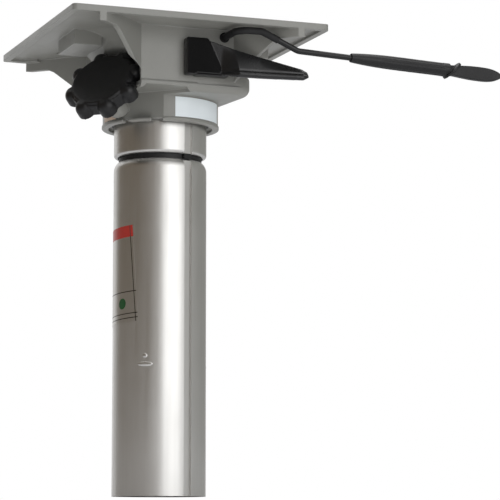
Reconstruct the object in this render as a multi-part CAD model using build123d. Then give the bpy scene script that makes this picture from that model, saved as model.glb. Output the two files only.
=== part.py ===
from build123d import *
from math import cos, radians, sin, sqrt
import os

# A boat seat pedestal: a column, a gas-spring post that rises from it, and a cast swivel head.
# Sizes are in millimetres. The foot of the column is z = 0, and the front of the head faces -Y.
# Angles round the column are counted from the front (-Y) towards +X.

# Fits
RUN_GAP = 0.05
SEAT_GAP = 0.3
LOOSE_GAP = 1.0

# Column tube: one grooved extrusion, swaged in at its top
COLUMN_R = 36.5
COLUMN_WALL = 3.0
COLUMN_TOP = 261.0
FOOT_LENGTH = 84.0
FOOT_STEP = 0.4
FOOT_RUNOUT = 6.0
SWAGE_LENGTH = 7.5
LIP_R = 33.3
LIP_WALL = 2.7
GROOVE_ANGLE = 18.5
GROOVE_WIDTH = 7.5
GROOVE_DEPTH = 2.0
RIB_WIDTH = 12.5
COLUMN_BORE_R = COLUMN_R - COLUMN_WALL
RIB_R = COLUMN_BORE_R - GROOVE_DEPTH

# Stakes that hold the spring seat
STAKE_Z = 100.6
STAKE_ANGLES = (-36.0, 84.0, -156.0)
STAKE_HEIGHT = 19.0
STAKE_DEPTH = 1.5
STAKE_SLOT_WIDTH = 13.5
STAKE_SLOT_HEIGHT = 2.2
STAKE_TOOTH = 2.0
STAKE_PIT_R = 3.0
STAKE_PIT_RISE = 6.1
STAKE_PIT_DEPTH = 0.9

# Spring seat plug
PLUG_HEIGHT = 14.0
PLUG_GROOVE_HEIGHT = 5.0
PLUG_GROOVE_DEPTH = 3.2

# Top bushing
BUSHING_LENGTH = 38.0
RING_R = 32.7
RING_HEIGHT = 4.0
TAB_R = 35.6
TAB_WIDTH = 6.6

# Post: slide tube, sleeve and cap
SLIDE_R = 28.5
SLIDE_WALL = 2.5
LOWER_BUSHING_HEIGHT = 18.0
BUSHING_FLANGE = 3.0
POST_DROP = 4.4
SLEEVE_LENGTH = 41.0
SLEEVE_EDGE_R = 2.5
CAP_HEIGHT = 8.0
ADAPTER_LENGTH = 26.0

# Gas spring
CYLINDER_R = 14.0
CYLINDER_WALL = 1.5
BUMP_HEIGHT = 12.1
CYLINDER_END = 12.0
CYLINDER_HEAD = 10.0
NECK_R = 9.0
NECK_PROUD = 1.7
ROD_R = 5.0
ROD_THREAD_R = 4.0
PISTON_HEIGHT = 10.0
PISTON_CLEARANCE = 4.0
ROD_WASHER_R = 10.0
ROD_WASHER_HEIGHT = 2.0
ROD_NUT_FLATS = 13.0
ROD_NUT_HEIGHT = 6.5
ROD_PROUD = 2.0
BUMP_R = 12.0
VALVE_R = 2.5
VALVE_GAP = 0.7
VALVE_TRAVEL = 2.6

# Swivel
WASHER_HEIGHT = 2.0
WASHER_R = 36.2
BOSS_R = 19.5
LOCK_RING_R = 27.0
LOCK_RING_HEIGHT = 4.0
LOCK_NOTCHES = 12
LOCK_NOTCH_R = 3.3
LOCK_PITCH_R = 26.0
DRIVE_R = 14.0
DRIVE_FLAT = 12.0
CYLINDER_NUT_FLATS = 32.0
CYLINDER_NUT_HEIGHT = 6.5
SWIVEL_BUSHING_WALL = 1.85
SWIVEL_BUSHING_INSET = 0.4

# Levels and radii that follow from the sizes above
RING_TOP = COLUMN_TOP + RING_HEIGHT
SLEEVE_TOP = RING_TOP + SLEEVE_LENGTH
CAP_FOOT = SLEEVE_TOP - CAP_HEIGHT
WASHER_TOP = SLEEVE_TOP + WASHER_HEIGHT
PLUG_FOOT = STAKE_Z - PLUG_HEIGHT / 2
PLUG_TOP = PLUG_FOOT + PLUG_HEIGHT
POST_FOOT = PLUG_TOP + POST_DROP
CYLINDER_FOOT = PLUG_TOP + BUMP_HEIGHT + SEAT_GAP
SWIVEL_BORE_R = COLUMN_R + RUN_GAP
SWIVEL_SEAT_R = SWIVEL_BORE_R + SWIVEL_BUSHING_WALL

# Head casting: seat plate
HEAD_RISE = 54.5
PLATE_SIZE = 204.8
PLATE_RIM_HEIGHT = 4.8
PLATE_RIM_WIDTH = 5.0
PLATE_THICKNESS = 2.6
PLATE_CORNER_R = 3.5
BOLT_SPACING = 127.0
BOLT_HOLE_R = 4.2
PLATE_TOP = SLEEVE_TOP + HEAD_RISE
UNDERSIDE = PLATE_TOP - PLATE_THICKNESS
RIM_FOOT = PLATE_TOP - PLATE_RIM_HEIGHT

# Head casting: body, bowl and bell mouth
CAST_WALL = 4.0
FLOOR_HEIGHT = 5.0
BODY_HALF_WIDTH = 37.5
BODY_FRONT = 65.0
BODY_DEPTH = 46.5
BODY_BACK_DEPTH = 24.5
BOWL_R = 50.0
BOWL_CORNER_R = 17.0
BOWL_CORNER_X = 38.5
BOWL_PROUD = 1.2
BOWL_LIFT = 2.5
BOWL_HEIGHT = 15.5
BOWL_EDGE_R = 6.5
BOWL_CUT_Y = -25.0
FLARE_HEIGHT = 37.9
FLARE_NECK = 48.0
FLARE_SIDE = 80.0
FLARE_FRONT = 66.5
FLARE_STEPS = (0.0, 0.3, 0.56, 0.76, 0.9, 0.98)
FLARE_CURL = 0.8
BODY_FOOT = PLATE_TOP - BODY_DEPTH
BODY_BACK_FOOT = PLATE_TOP - BODY_BACK_DEPTH
BOWL_FOOT = SLEEVE_TOP + BOWL_LIFT
BOWL_TOP = BOWL_FOOT + BOWL_HEIGHT
FLARE_FOOT = UNDERSIDE - FLARE_HEIGHT
FLOOR_TOP = WASHER_TOP + FLOOR_HEIGHT
LOCK_RING_FOOT = FLOOR_TOP + SEAT_GAP
LOCK_RING_TOP = LOCK_RING_FOOT + LOCK_RING_HEIGHT
NECK_TOP = LOCK_RING_TOP + CYLINDER_NUT_HEIGHT + NECK_PROUD
WALL_INNER = -BODY_FRONT + CAST_WALL

# Webs, as (distance along the web, drop below the plate), and side pads
WEB_THICKNESS = 9.5
WEB_END_X = 76.4
WEB_END_Y = 102.0
WEB_EDGE = ((1.3, 40.2), (6.9, 31.9), (16.5, 23.6), (32.7, 11.5), (38.5, 9.0), (44.0, 9.0))
SIDE_PAD_X = 80.0
SIDE_PAD_DEPTH = 22.0
SIDE_PAD_BACK = 15.0
SIDE_PAD_FRONT = -30.0
SIDE_PAD_HEIGHT = 11.9

# Collar
COLLAR_R = 45.6
COLLAR_DEPTH = 17.7
COLLAR_LIP_HEIGHT = 2.8
COLLAR_LIP = 0.7
COUNTERBORE_R = 41.0
COUNTERBORE_DEPTH = 2.6
FLAT_ANGLE = -45.0
FLAT_DISTANCE = 39.7
FLAT_LIFT = 1.9
FLAT_HEIGHT = 21.3
FLAT_LEDGE = 30.0
FLAT_LEDGE_RISE = 2.8
NOTCH_ANGLES = (-55.0, -22.0)
NOTCH_WIDTHS = (5.6, 9.0)
COLLAR_FOOT = SLEEVE_TOP - COLLAR_DEPTH
FLAT_FOOT = COLLAR_FOOT + FLAT_LIFT
SWIVEL_BUSHING_FOOT = COLLAR_FOOT + COUNTERBORE_DEPTH + SWIVEL_BUSHING_INSET

# Knob, on an axis that leans up and to the front left
KNOB_X = -61.2
KNOB_Y = -38.4
KNOB_RISE = 12.3
KNOB_TURN = -46.0
KNOB_TILT = 32.0
KNOB_HEIGHT = 16.0
KNOB_R = 26.6
KNOB_SKIRT = 12.5
KNOB_HUB_R = 16.0
KNOB_LOBES = 8
KNOB_LOBE_R = 7.0
KNOB_LOBE_PITCH = 25.5
KNOB_LOBE_DEPTH = 6.6
KNOB_PHASE = 21.0
KNOB_RIM_R = 25.0
KNOB_RIM_WIDTH = 1.6
KNOB_RIM_HEIGHT = 2.0
KNOB_DISH = 1.3
KNOB_SOCKET_SHARE = 0.7
KNOB_RELIEF_R = 33.8
KNOB_RELIEF_FRONT = 6.0
KNOB_BACK_GAP = 1.5
STUD_R = 4.0
STUD_LENGTH = 21.0
KNOB_BOSS_R = 8.0
SHOE_TRAVEL = 0.6
SHOE_LENGTH = 9.0
KNOB_Z = SLEEVE_TOP + KNOB_RISE

# Lever: bends as (distance out, rise) from where it leaves the casting
LEVER_R = 2.3
LEVER_X = 30.0
LEVER_DROP = 8.5
LEVER_Y = -95.4
LEVER_INNER_END = -3.0
LEVER_BEND_R = 10.0
LEVER_INNER_BEND_R = 6.0
LEVER_KNEE = (19.45, 0.15)
LEVER_ANKLE = (48.9, -12.9)
LEVER_END = (175.45, -18.55)
LEVER_SLEEVE_WALL = 0.45
LEVER_SLEEVE_GAP = 0.02
LEVER_SLEEVE_SHARE = 0.45
LEVER_BOSS_R = 6.0
LEVER_BOSS_LENGTH = 34.0
GROMMET_R = 3.5
GROMMET_FLANGE_R = 3.9
GROMMET_FLANGE = 0.6
GRIP_START = 44.0
GRIP_LENGTH = 84.0
GRIP_R = (3.5, 4.8, 5.35, 5.5)
GRIP_STATIONS = (0.2, 0.66)
GRIP_RIBS = 10
GRIP_RIB_R = 0.8
GRIP_RIB_SHARE = 0.7
GRIP_GAP = 0.02
GUARD_R = 8.8
GUARD_THICKNESS = 2.0
GUARD_OFFSET = 3.0
GUARD_TILT = 43.0
LEAF_LENGTH = 47.0
LEAF_HEIGHT = 10.8
LEAF_THICKNESS = 5.0
LEAF_ROOT = 2.0
LEVER_Z = PLATE_TOP - LEVER_DROP
LEVER_SLEEVE_R = LEVER_R + LEVER_SLEEVE_WALL
VALVE_TOP = LEVER_Z - LEVER_R - VALVE_GAP

# Paddle and its shaft: the hub's corners as (distance out, rise) from the shaft
PADDLE_X = 8.0
PADDLE_RISE = 21.0
PADDLE_SHAFT_R = 4.0
PADDLE_SHAFT_END = -3.4
PADDLE_BOSS_R = 7.5
PADDLE_BOSS_LENGTH = 22.0
HUB_OUTLINE = ((-11.8, -14.5), (-11.8, 14.7), (5.7, 14.7), (16.4, -11.4), (13.0, -12.6))
HUB_DEPTH = 8.5
HUB_CORNER_R = 1.5
HUB_SOCKET = 5.1
LIP_START = -4.0
LIP_LENGTH = 26.0
LIP_DROP = 14.6
LIP_THICKNESS = 1.6
LIP_DEPTH = 9.0
PADDLE_Z = FLOOR_TOP + PADDLE_RISE

# Paddle's wing, station by station along X from the shaft: how far the top and the foot of the
# section stand in front of the wall, their rise over the shaft, the thickness and the bead
WING_X = (5.7, 16.6, 26.0, 44.0, 79.0, 83.5)
WING_TOP_REACH = (9.5, 12.2, 14.5, 18.5, 18.5, 19.0)
WING_TOP_RISE = (13.2, 9.5, 6.2, 1.0, -6.2, -8.5)
WING_FOOT_REACH = (5.6, 9.5, 23.5, 25.0, 24.5, 22.5)
WING_FOOT_RISE = (-13.5, -13.5, -16.8, -17.0, -15.8, -13.4)
WING_THICKNESS = (3.0, 3.4, 3.8, 3.6, 3.2, 1.6)
WING_BEAD = (0.3, 1.2, 4.4, 4.4, 4.0, 1.2)
WING_GROOVE = 0.5

# Crank and the lock pin that it lifts
CRANK_HUB_R = 7.0
CRANK_THICKNESS = 5.0
CRANK_ARM_HEIGHT = 4.0
FORK_WALL = 2.0
FORK_REACH = 1.2
FORK_GAP = 0.7
LOCK_PIN_ANGLE = 75.0
LOCK_PIN_R = 3.0
LOCK_PIN_ENGAGE = 1.6
LOCK_PIN_HEAD_R = 5.2
LOCK_PIN_HEAD = 2.5
PIN_GUIDE_R = 6.0
PIN_GUIDE_HEIGHT = 9.0
CLIP_R = 6.2
CLIP_THICKNESS = 1.2
PRESS_GAP = 0.02
LOCK_PIN_X = LOCK_PITCH_R * sin(radians(LOCK_PIN_ANGLE))
LOCK_PIN_Y = -LOCK_PITCH_R * cos(radians(LOCK_PIN_ANGLE))

# Labels
LABEL_THICKNESS = 0.15
LABEL_GAP = 0.06
TUBE_LABEL_ANGLES = (-55.5, -145.0)
TUBE_LABEL_FOOT = 133.0
TUBE_LABEL_HEIGHT = 75.0
TUBE_LABEL_TILT = 3.5
COLLAR_LABEL_ANGLES = (-4.0, 57.0)
SIDE_LABEL_ANGLES = (-92.0, -68.0)
COLLAR_LABEL_LIFT = 3.3
COLLAR_LABEL_HEIGHT = 15.6
SIDE_LABEL_HEIGHT = 12.4


def turned(angle, radius=0.0, z=0.0):
    """Place at an angle from the front and a distance from the axis."""
    return Rot(0, 0, angle) * Pos(0, -radius, z)


def disc(radius, z0, z1):
    """Solid disc between two heights."""
    return Pos(0, 0, z0) * extrude(Circle(radius), z1 - z0)


def ring(outer, inner, z0, z1):
    """Plain ring between two heights."""
    return Pos(0, 0, z0) * extrude(Circle(outer) - Circle(inner), z1 - z0)


def block(x0, x1, y0, y1, z0, z1):
    """Box between two corners."""
    return Pos((x0 + x1) / 2, (y0 + y1) / 2, (z0 + z1) / 2) * Box(x1 - x0, y1 - y0, z1 - z0)


def key(inner, outer, width, z0, z1):
    """Straight key at the angle of the groove."""
    height = z1 - z0
    middle = (inner + outer) / 2
    return turned(GROOVE_ANGLE, middle, z0 + height / 2) * Box(width, outer - inner, height)


def rib_notch(z0, z1):
    """Clearance for the rib inside the tube."""
    return key(RIB_R - SEAT_GAP, COLUMN_R, RIB_WIDTH + 2 * SEAT_GAP, z0 - 1, z1 + 1)


def revolved(*points):
    """Revolve a profile of (radius, height) points round the column's axis."""
    profile = make_face(Polyline(*[(r, 0, z) for r, z in points], close=True))
    return revolve(profile, Axis.Z)


def along_y(x, z, radius, y0, y1):
    """Round bar along Y."""
    return Pos(x, y0, z) * Rot(-90, 0, 0) * extrude(Circle(radius), y1 - y0)


def save(shape, name):
    """Write one piece."""
    export_step(shape, "parts/" + name + ".step")


# Column tube
def stake_tool(angle):
    """Outside of one stake: a dished dent, a lanced slot and a small pit."""
    tool_r = ((STAKE_HEIGHT / 2) ** 2 + STAKE_DEPTH ** 2) / (2 * STAKE_DEPTH)
    floor = COLUMN_R - STAKE_DEPTH
    dent = turned(angle, floor + tool_r, STAKE_Z) * Rot(0, 90, 0) * Cylinder(tool_r, COLUMN_R)
    slot = turned(angle, floor, STAKE_Z) * Box(STAKE_SLOT_WIDTH, STAKE_DEPTH, STAKE_SLOT_HEIGHT)
    pit_depth = STAKE_DEPTH + 2 * STAKE_PIT_DEPTH
    pit_at = turned(angle, floor, STAKE_Z + STAKE_PIT_RISE)
    pit = pit_at * Rot(90, 0, 0) * Cylinder(STAKE_PIT_R, pit_depth)
    return dent + slot + pit


def stake_tooth(angle):
    """Inside of one stake: the wall pushed into the groove of the plug."""
    inner = COLUMN_BORE_R - STAKE_TOOTH
    depth = COLUMN_R - STAKE_DEPTH - STAKE_DEPTH / 2 - inner
    return turned(angle, inner + depth / 2, STAKE_Z) * Box(STAKE_SLOT_WIDTH, depth, PLUG_GROOVE_HEIGHT - 1)


def outer_tube():
    """Grooved column tube with its swaged lip and three stakes."""
    shoulder = COLUMN_TOP - SWAGE_LENGTH
    lip_bore = LIP_R - LIP_WALL
    outside = ThreePointArc(
        (COLUMN_R, 0, shoulder),
        (COLUMN_R - 0.3 * (COLUMN_R - LIP_R), 0, shoulder + 0.62 * SWAGE_LENGTH),
        (LIP_R, 0, COLUMN_TOP),
    )
    rest = Polyline(
        (LIP_R, 0, COLUMN_TOP),
        (lip_bore, 0, COLUMN_TOP),
        (lip_bore, 0, COLUMN_TOP - 0.2 * SWAGE_LENGTH),
        (COLUMN_BORE_R, 0, shoulder),
        (COLUMN_BORE_R, 0, 0),
        (COLUMN_R - FOOT_STEP, 0, 0),
        (COLUMN_R - FOOT_STEP, 0, FOOT_LENGTH),
        (COLUMN_R, 0, FOOT_LENGTH + FOOT_RUNOUT),
        (COLUMN_R, 0, shoulder),
    )
    tube = revolve(make_face(Curve() + [outside, rest]), Axis.Z)
    tube += key(RIB_R, COLUMN_BORE_R + 1, RIB_WIDTH, 0, shoulder - 1)
    for angle in STAKE_ANGLES:
        tube = tube - stake_tool(angle) + stake_tooth(angle)
    tube -= key(COLUMN_R - GROOVE_DEPTH, COLUMN_R + 1, GROOVE_WIDTH, -1, COLUMN_TOP + 1)
    return tube


def top_bushing():
    """Bushing under the lip, with the ring and key tab that show above it."""
    body_top = COLUMN_TOP - SWAGE_LENGTH - SEAT_GAP
    neck = LIP_R - LIP_WALL - RUN_GAP
    body = COLUMN_BORE_R - RUN_GAP
    bore = SLIDE_R + RUN_GAP
    bushing = revolved(
        (bore, body_top - BUSHING_LENGTH),
        (body, body_top - BUSHING_LENGTH),
        (body, body_top),
        (neck, body_top),
        (neck, COLUMN_TOP),
        (RING_R, COLUMN_TOP),
        (RING_R, RING_TOP),
        (bore, RING_TOP),
    )
    bushing -= rib_notch(body_top - BUSHING_LENGTH, body_top - SEAT_GAP)
    return bushing + key(neck - 1, TAB_R, TAB_WIDTH, COLUMN_TOP, RING_TOP)


def seat_plug():
    """Plug that carries the gas spring, held in the tube by its groove."""
    radius = COLUMN_BORE_R - RUN_GAP
    plug = disc(radius, PLUG_FOOT, PLUG_TOP)
    half = PLUG_GROOVE_HEIGHT / 2
    plug -= ring(radius + 1, radius - PLUG_GROOVE_DEPTH, STAKE_Z - half, STAKE_Z + half)
    plug -= disc(ROD_THREAD_R + RUN_GAP, PLUG_FOOT - 1, PLUG_TOP + 1)
    return plug - rib_notch(PLUG_FOOT, PLUG_TOP)


def rod_top():
    """Height of the top of the piston when the post is down."""
    return CAP_FOOT - CYLINDER_HEAD - PISTON_CLEARANCE


def piston_rod():
    """Fixed rod with its piston, threaded through the plug."""
    foot = PLUG_FOOT - ROD_WASHER_HEIGHT - ROD_NUT_HEIGHT - ROD_PROUD
    rod = disc(ROD_THREAD_R, foot, PLUG_TOP) + disc(ROD_R, PLUG_TOP, rod_top())
    piston_r = CYLINDER_R - CYLINDER_WALL - RUN_GAP
    return rod + disc(piston_r, rod_top() - PISTON_HEIGHT, rod_top())


def rod_washer():
    """Washer under the plug."""
    return ring(ROD_WASHER_R, ROD_THREAD_R + RUN_GAP, PLUG_FOOT - ROD_WASHER_HEIGHT, PLUG_FOOT)


def rod_nut():
    """Nut under the washer."""
    top = PLUG_FOOT - ROD_WASHER_HEIGHT
    hexagon = RegularPolygon(ROD_NUT_FLATS / 2, 6, major_radius=False)
    nut = Pos(0, 0, top - ROD_NUT_HEIGHT) * extrude(hexagon, ROD_NUT_HEIGHT)
    return nut - disc(ROD_THREAD_R + RUN_GAP, top - ROD_NUT_HEIGHT - 1, top + 1)


def bump_stop():
    """Rubber ring between the plug and the gas cylinder."""
    return ring(BUMP_R, ROD_R + SEAT_GAP, PLUG_TOP, PLUG_TOP + BUMP_HEIGHT)


def wrap(radius, angles, low, high):
    """Thin label wrapped on a round wall, over less than half a turn."""
    start, end = angles
    half = radians(abs(end - start) / 2)
    reach = radius * 2
    side = (reach * sin(half), -reach * cos(half))
    wedge = Polygon((0, 0), side, (-side[0], side[1]), align=None)
    sheet = Circle(radius + LABEL_THICKNESS) - Circle(radius)
    patch = sheet & (Rot(0, 0, (start + end) / 2) * wedge)
    return Pos(0, 0, low) * extrude(patch, high - low)


def tube_label():
    """Label wrapped on the column, put on a little askew."""
    start, end = TUBE_LABEL_ANGLES
    spare = COLUMN_R * sin(radians(TUBE_LABEL_TILT)) * 4
    top = TUBE_LABEL_FOOT + TUBE_LABEL_HEIGHT
    tall = wrap(COLUMN_R + LABEL_GAP, TUBE_LABEL_ANGLES, TUBE_LABEL_FOOT - spare, top + spare)
    centre = turned((start + end) / 2, COLUMN_R, TUBE_LABEL_FOOT + TUBE_LABEL_HEIGHT / 2)
    lean = centre * Rot(0, TUBE_LABEL_TILT, 0)
    return tall & (lean * Box(4 * COLUMN_R, 2.2 * COLUMN_R, TUBE_LABEL_HEIGHT))


# Post
def slide_tube():
    """Inner tube that slides in the column's bushings."""
    return ring(SLIDE_R, SLIDE_R - SLIDE_WALL, POST_FOOT + BUSHING_FLANGE, CAP_FOOT)


def lower_bushing():
    """Bushing on the foot of the slide tube, keyed to the column's rib."""
    seat = POST_FOOT + BUSHING_FLANGE
    top = POST_FOOT + LOWER_BUSHING_HEIGHT
    outer = COLUMN_BORE_R - RUN_GAP
    bushing = ring(outer, SLIDE_R - SLIDE_WALL, POST_FOOT, seat)
    bushing += ring(outer, SLIDE_R + RUN_GAP, seat, top)
    return bushing - rib_notch(POST_FOOT, top)


def sleeve_adapter():
    """Ring that centres the sleeve on the slide tube."""
    foot = CAP_FOOT - ADAPTER_LENGTH
    adapter = ring(COLUMN_BORE_R - RUN_GAP, SLIDE_R + RUN_GAP, foot, CAP_FOOT)
    return adapter - rib_notch(foot, CAP_FOOT)


def top_sleeve():
    """Short length of the column's extrusion that the head turns on."""
    sleeve = disc(COLUMN_R, RING_TOP, SLEEVE_TOP)
    sleeve = fillet(sleeve.edges().sort_by(Axis.Z)[0], SLEEVE_EDGE_R)
    sleeve -= disc(COLUMN_BORE_R, RING_TOP - 1, SLEEVE_TOP + 1)
    sleeve += key(RIB_R, COLUMN_BORE_R + 1, RIB_WIDTH, RING_TOP, SLEEVE_TOP)
    groove_foot = RING_TOP - 1
    return sleeve - key(COLUMN_R - GROOVE_DEPTH, COLUMN_R + 1, GROOVE_WIDTH, groove_foot, SLEEVE_TOP + 1)


def drive(clearance, z0, z1):
    """Round end with two flats that keys the lock ring to the cap."""
    half = DRIVE_FLAT + clearance
    return disc(DRIVE_R + clearance, z0, z1) & block(-DRIVE_R * 2, DRIVE_R * 2, -half, half, z0, z1)


def post_cap():
    """Cap that carries the head, with a boss through the head's floor."""
    cap = disc(COLUMN_BORE_R - RUN_GAP, CAP_FOOT, SLEEVE_TOP)
    cap -= rib_notch(CAP_FOOT, SLEEVE_TOP)
    cap += disc(BOSS_R, SLEEVE_TOP - 1, LOCK_RING_FOOT)
    cap += drive(0, LOCK_RING_FOOT - 1, LOCK_RING_TOP - SEAT_GAP)
    return cap - disc(NECK_R + RUN_GAP, CAP_FOOT - 1, LOCK_RING_TOP + 1)


def gas_cylinder():
    """Gas spring cylinder with a threaded neck and a valve bore."""
    cylinder = disc(CYLINDER_R, CYLINDER_FOOT, CAP_FOOT) + disc(NECK_R, CAP_FOOT - 1, NECK_TOP)
    bore_top = CAP_FOOT - CYLINDER_HEAD
    cylinder -= disc(CYLINDER_R - CYLINDER_WALL, CYLINDER_FOOT + CYLINDER_END, bore_top)
    cylinder -= disc(ROD_R + RUN_GAP, CYLINDER_FOOT - 1, CYLINDER_FOOT + CYLINDER_END + 1)
    return cylinder - disc(VALVE_R + RUN_GAP, CAP_FOOT, NECK_TOP + 1)


def valve_pin():
    """Release pin of the gas spring."""
    pin = disc(VALVE_R, CAP_FOOT + VALVE_TRAVEL + LOOSE_GAP, VALVE_TOP)
    return fillet(pin.edges().sort_by(Axis.Z)[-1], VALVE_R * 0.6)


def thrust_washer():
    """Washer between the post and the head's floor."""
    return ring(WASHER_R, BOSS_R + SEAT_GAP, SLEEVE_TOP, WASHER_TOP)


def lock_ring():
    """Notched ring that holds the head down and locks its turn."""
    plate = disc(LOCK_RING_R, LOCK_RING_FOOT, LOCK_RING_TOP)
    plate -= drive(RUN_GAP, LOCK_RING_FOOT - 1, LOCK_RING_TOP + 1)
    for index in range(LOCK_NOTCHES):
        notch = disc(LOCK_NOTCH_R, LOCK_RING_FOOT - 1, LOCK_RING_TOP + 1)
        plate -= turned(LOCK_PIN_ANGLE + index * 360 / LOCK_NOTCHES, LOCK_PITCH_R) * notch
    return plate


def cylinder_nut():
    """Flanged nut that clamps the lock ring and the gas cylinder."""
    hexagon = RegularPolygon(CYLINDER_NUT_FLATS / 2, 6, major_radius=False)
    nut = Pos(0, 0, LOCK_RING_TOP) * extrude(hexagon, CYLINDER_NUT_HEIGHT)
    nut = chamfer(nut.edges().group_by(Axis.Z)[-1], 0.8)
    return nut - disc(NECK_R + RUN_GAP, LOCK_RING_TOP - 1, LOCK_RING_TOP + CYLINDER_NUT_HEIGHT + 1)


# Knob axis
def knob_place(distance=0.0):
    """Place on the knob's axis, counted outwards from the middle of its face."""
    turn = Rot(0, 0, KNOB_TURN) * Rot(90 - KNOB_TILT, 0, 0)
    return Pos(KNOB_X, KNOB_Y, KNOB_Z) * turn * Pos(0, 0, distance)


def knob_bar(radius, start, end):
    """Round bar on the knob's axis."""
    return knob_place(start) * extrude(Circle(radius), end - start)


# Head casting
def plate():
    """Square seat plate with a rim that hangs below it."""
    square = RectangleRounded(PLATE_SIZE, PLATE_SIZE, PLATE_CORNER_R)
    body = Pos(0, 0, RIM_FOOT) * extrude(square, PLATE_RIM_HEIGHT)
    inside = PLATE_SIZE - 2 * PLATE_RIM_WIDTH
    return body - Pos(0, 0, RIM_FOOT) * extrude(Rectangle(inside, inside), UNDERSIDE - RIM_FOOT)


def flare(offset, top):
    """Body that widens into the plate like a bell mouth."""
    rise = (UNDERSIDE - FLARE_FOOT) / FLARE_STEPS[-1]
    sections = []
    for step in FLARE_STEPS:
        spread = 1 - sqrt(1 - step * step)
        side = FLARE_NECK + (FLARE_SIDE - FLARE_NECK) * spread / FLARE_CURL
        front = side * FLARE_FRONT / FLARE_SIDE
        sections.append(Pos(0, 0, FLARE_FOOT + rise * step) * Ellipse(side - offset, front - offset))
    side_top = side - offset
    front_top = front - offset
    body = loft(sections)
    return body + Pos(0, 0, UNDERSIDE) * extrude(Ellipse(side_top, front_top), top - UNDERSIDE)


def bowl(offset, z0, z1, edge):
    """Rounded housing round the lock, with a flat front."""
    corner_y = BOWL_CORNER_R - BODY_FRONT - BOWL_PROUD
    corners = [Pos(x, corner_y) * Circle(BOWL_CORNER_R - offset) for x in (-BOWL_CORNER_X, BOWL_CORNER_X)]
    outline = make_hull((Circle(BOWL_R - offset) + corners[0] + corners[1]).edges())
    body = Pos(0, 0, z0) * extrude(outline, z1 - z0)
    if edge:
        body = fillet(body.faces().sort_by(Axis.Z)[0].edges(), edge)
        body = fillet(body.faces().sort_by(Axis.Z)[-1].edges(), edge / 2)
    return body


def trunk(offset, z0, z1):
    """Flat-fronted middle of the casting, from front wall to back wall."""
    half = BODY_HALF_WIDTH - offset
    front = BODY_FRONT - offset
    slope = (BODY_BACK_FOOT - BODY_FOOT)
    back_low = BODY_FRONT - slope
    profile = Polygon(
        (-front, z0),
        (-front, z1),
        (front, z1),
        (front, BODY_BACK_FOOT + offset / 2),
        (back_low - offset, z0),
        align=None,
    )
    return extrude(Plane.YZ * profile, half, both=True)


def webs():
    """Four diagonal fins that run out to the corners of the plate."""
    run = Vector(WEB_END_X - BODY_HALF_WIDTH, -(WEB_END_Y - BODY_FRONT), 0)
    face = Plane(
        origin=(BODY_HALF_WIDTH, -BODY_FRONT, 0),
        x_dir=run,
        z_dir=run.cross(Vector(0, 0, 1)),
    )
    length = run.length + WEB_THICKNESS * 2
    back = -WEB_THICKNESS * 1.5
    edge = [(distance, UNDERSIDE - drop) for distance, drop in WEB_EDGE]
    outline = [(back, UNDERSIDE + 1), (back, edge[0][1])]
    outline += edge + [(length, edge[-1][1]), (length, UNDERSIDE + 1)]
    web = extrude(face * Polygon(*outline, align=None), -WEB_THICKNESS)
    half = PLATE_SIZE / 2
    web &= block(0, half, -half, 0, COLLAR_FOOT, PLATE_TOP)
    right = web + mirror(web, Plane.XZ)
    return right + mirror(right, Plane.YZ)


def collar():
    """Round collar with a proud lip round its foot."""
    body = disc(COLLAR_R, COLLAR_FOOT, FLOOR_TOP)
    lip = disc(COLLAR_R + COLLAR_LIP, COLLAR_FOOT, COLLAR_FOOT + COLLAR_LIP_HEIGHT)
    lip = fillet(lip.edges(), COLLAR_LIP)
    return body + lip


def collar_flat():
    """Flat on the collar under a sloping ledge, and the notches in the lip below it."""
    far = FLAT_DISTANCE + FLAT_LEDGE
    ledge = FLAT_FOOT + FLAT_HEIGHT
    profile = Polygon(
        (-FLAT_DISTANCE, FLAT_FOOT),
        (-FLAT_DISTANCE, ledge),
        (-far, ledge + FLAT_LEDGE_RISE),
        (-far, FLAT_FOOT),
        align=None,
    )
    cut = Rot(0, 0, FLAT_ANGLE) * extrude(Plane.YZ * profile, COLLAR_R, both=True)
    height = FLAT_LIFT + 1
    depth = COLLAR_R - COUNTERBORE_R + 4
    for angle, width in zip(NOTCH_ANGLES, NOTCH_WIDTHS):
        place = turned(angle, COUNTERBORE_R - 1 + depth / 2, COLLAR_FOOT + FLAT_LIFT - height / 2)
        cut += place * Box(width, depth, height)
    return cut


def side_pads():
    """Pads on both sides of the bell mouth."""
    right = block(
        SIDE_PAD_X - SIDE_PAD_DEPTH,
        SIDE_PAD_X,
        SIDE_PAD_FRONT,
        SIDE_PAD_BACK,
        UNDERSIDE - SIDE_PAD_HEIGHT,
        UNDERSIDE + 1,
    )
    return right + mirror(right, Plane.YZ)


def cavity():
    """Inside of the casting, open at the top of the plate."""
    hollow = flare(CAST_WALL, PLATE_TOP + 1)
    hollow += trunk(CAST_WALL, FLOOR_TOP, PLATE_TOP + 1)
    hollow += bowl(CAST_WALL, FLOOR_TOP, BOWL_TOP - CAST_WALL, 0)
    return hollow


def inner_bosses():
    """Bosses inside the casting for the lever, the paddle's shaft and the lock pin."""
    bosses = along_y(LEVER_X, LEVER_Z, LEVER_BOSS_R, WALL_INNER - 1, WALL_INNER + LEVER_BOSS_LENGTH)
    bosses += along_y(PADDLE_X, PADDLE_Z, PADDLE_BOSS_R, WALL_INNER - 1, WALL_INNER + PADDLE_BOSS_LENGTH)
    foot = LOCK_RING_TOP + LOOSE_GAP
    top = foot + PIN_GUIDE_HEIGHT
    guide = Pos(LOCK_PIN_X, LOCK_PIN_Y, foot) * extrude(Circle(PIN_GUIDE_R), PIN_GUIDE_HEIGHT)
    wall = BOWL_R - CAST_WALL / 2
    half = PIN_GUIDE_R - 1
    guide += block(LOCK_PIN_X, wall, LOCK_PIN_Y - half, LOCK_PIN_Y + half, foot, top)
    return bosses + guide


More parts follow.
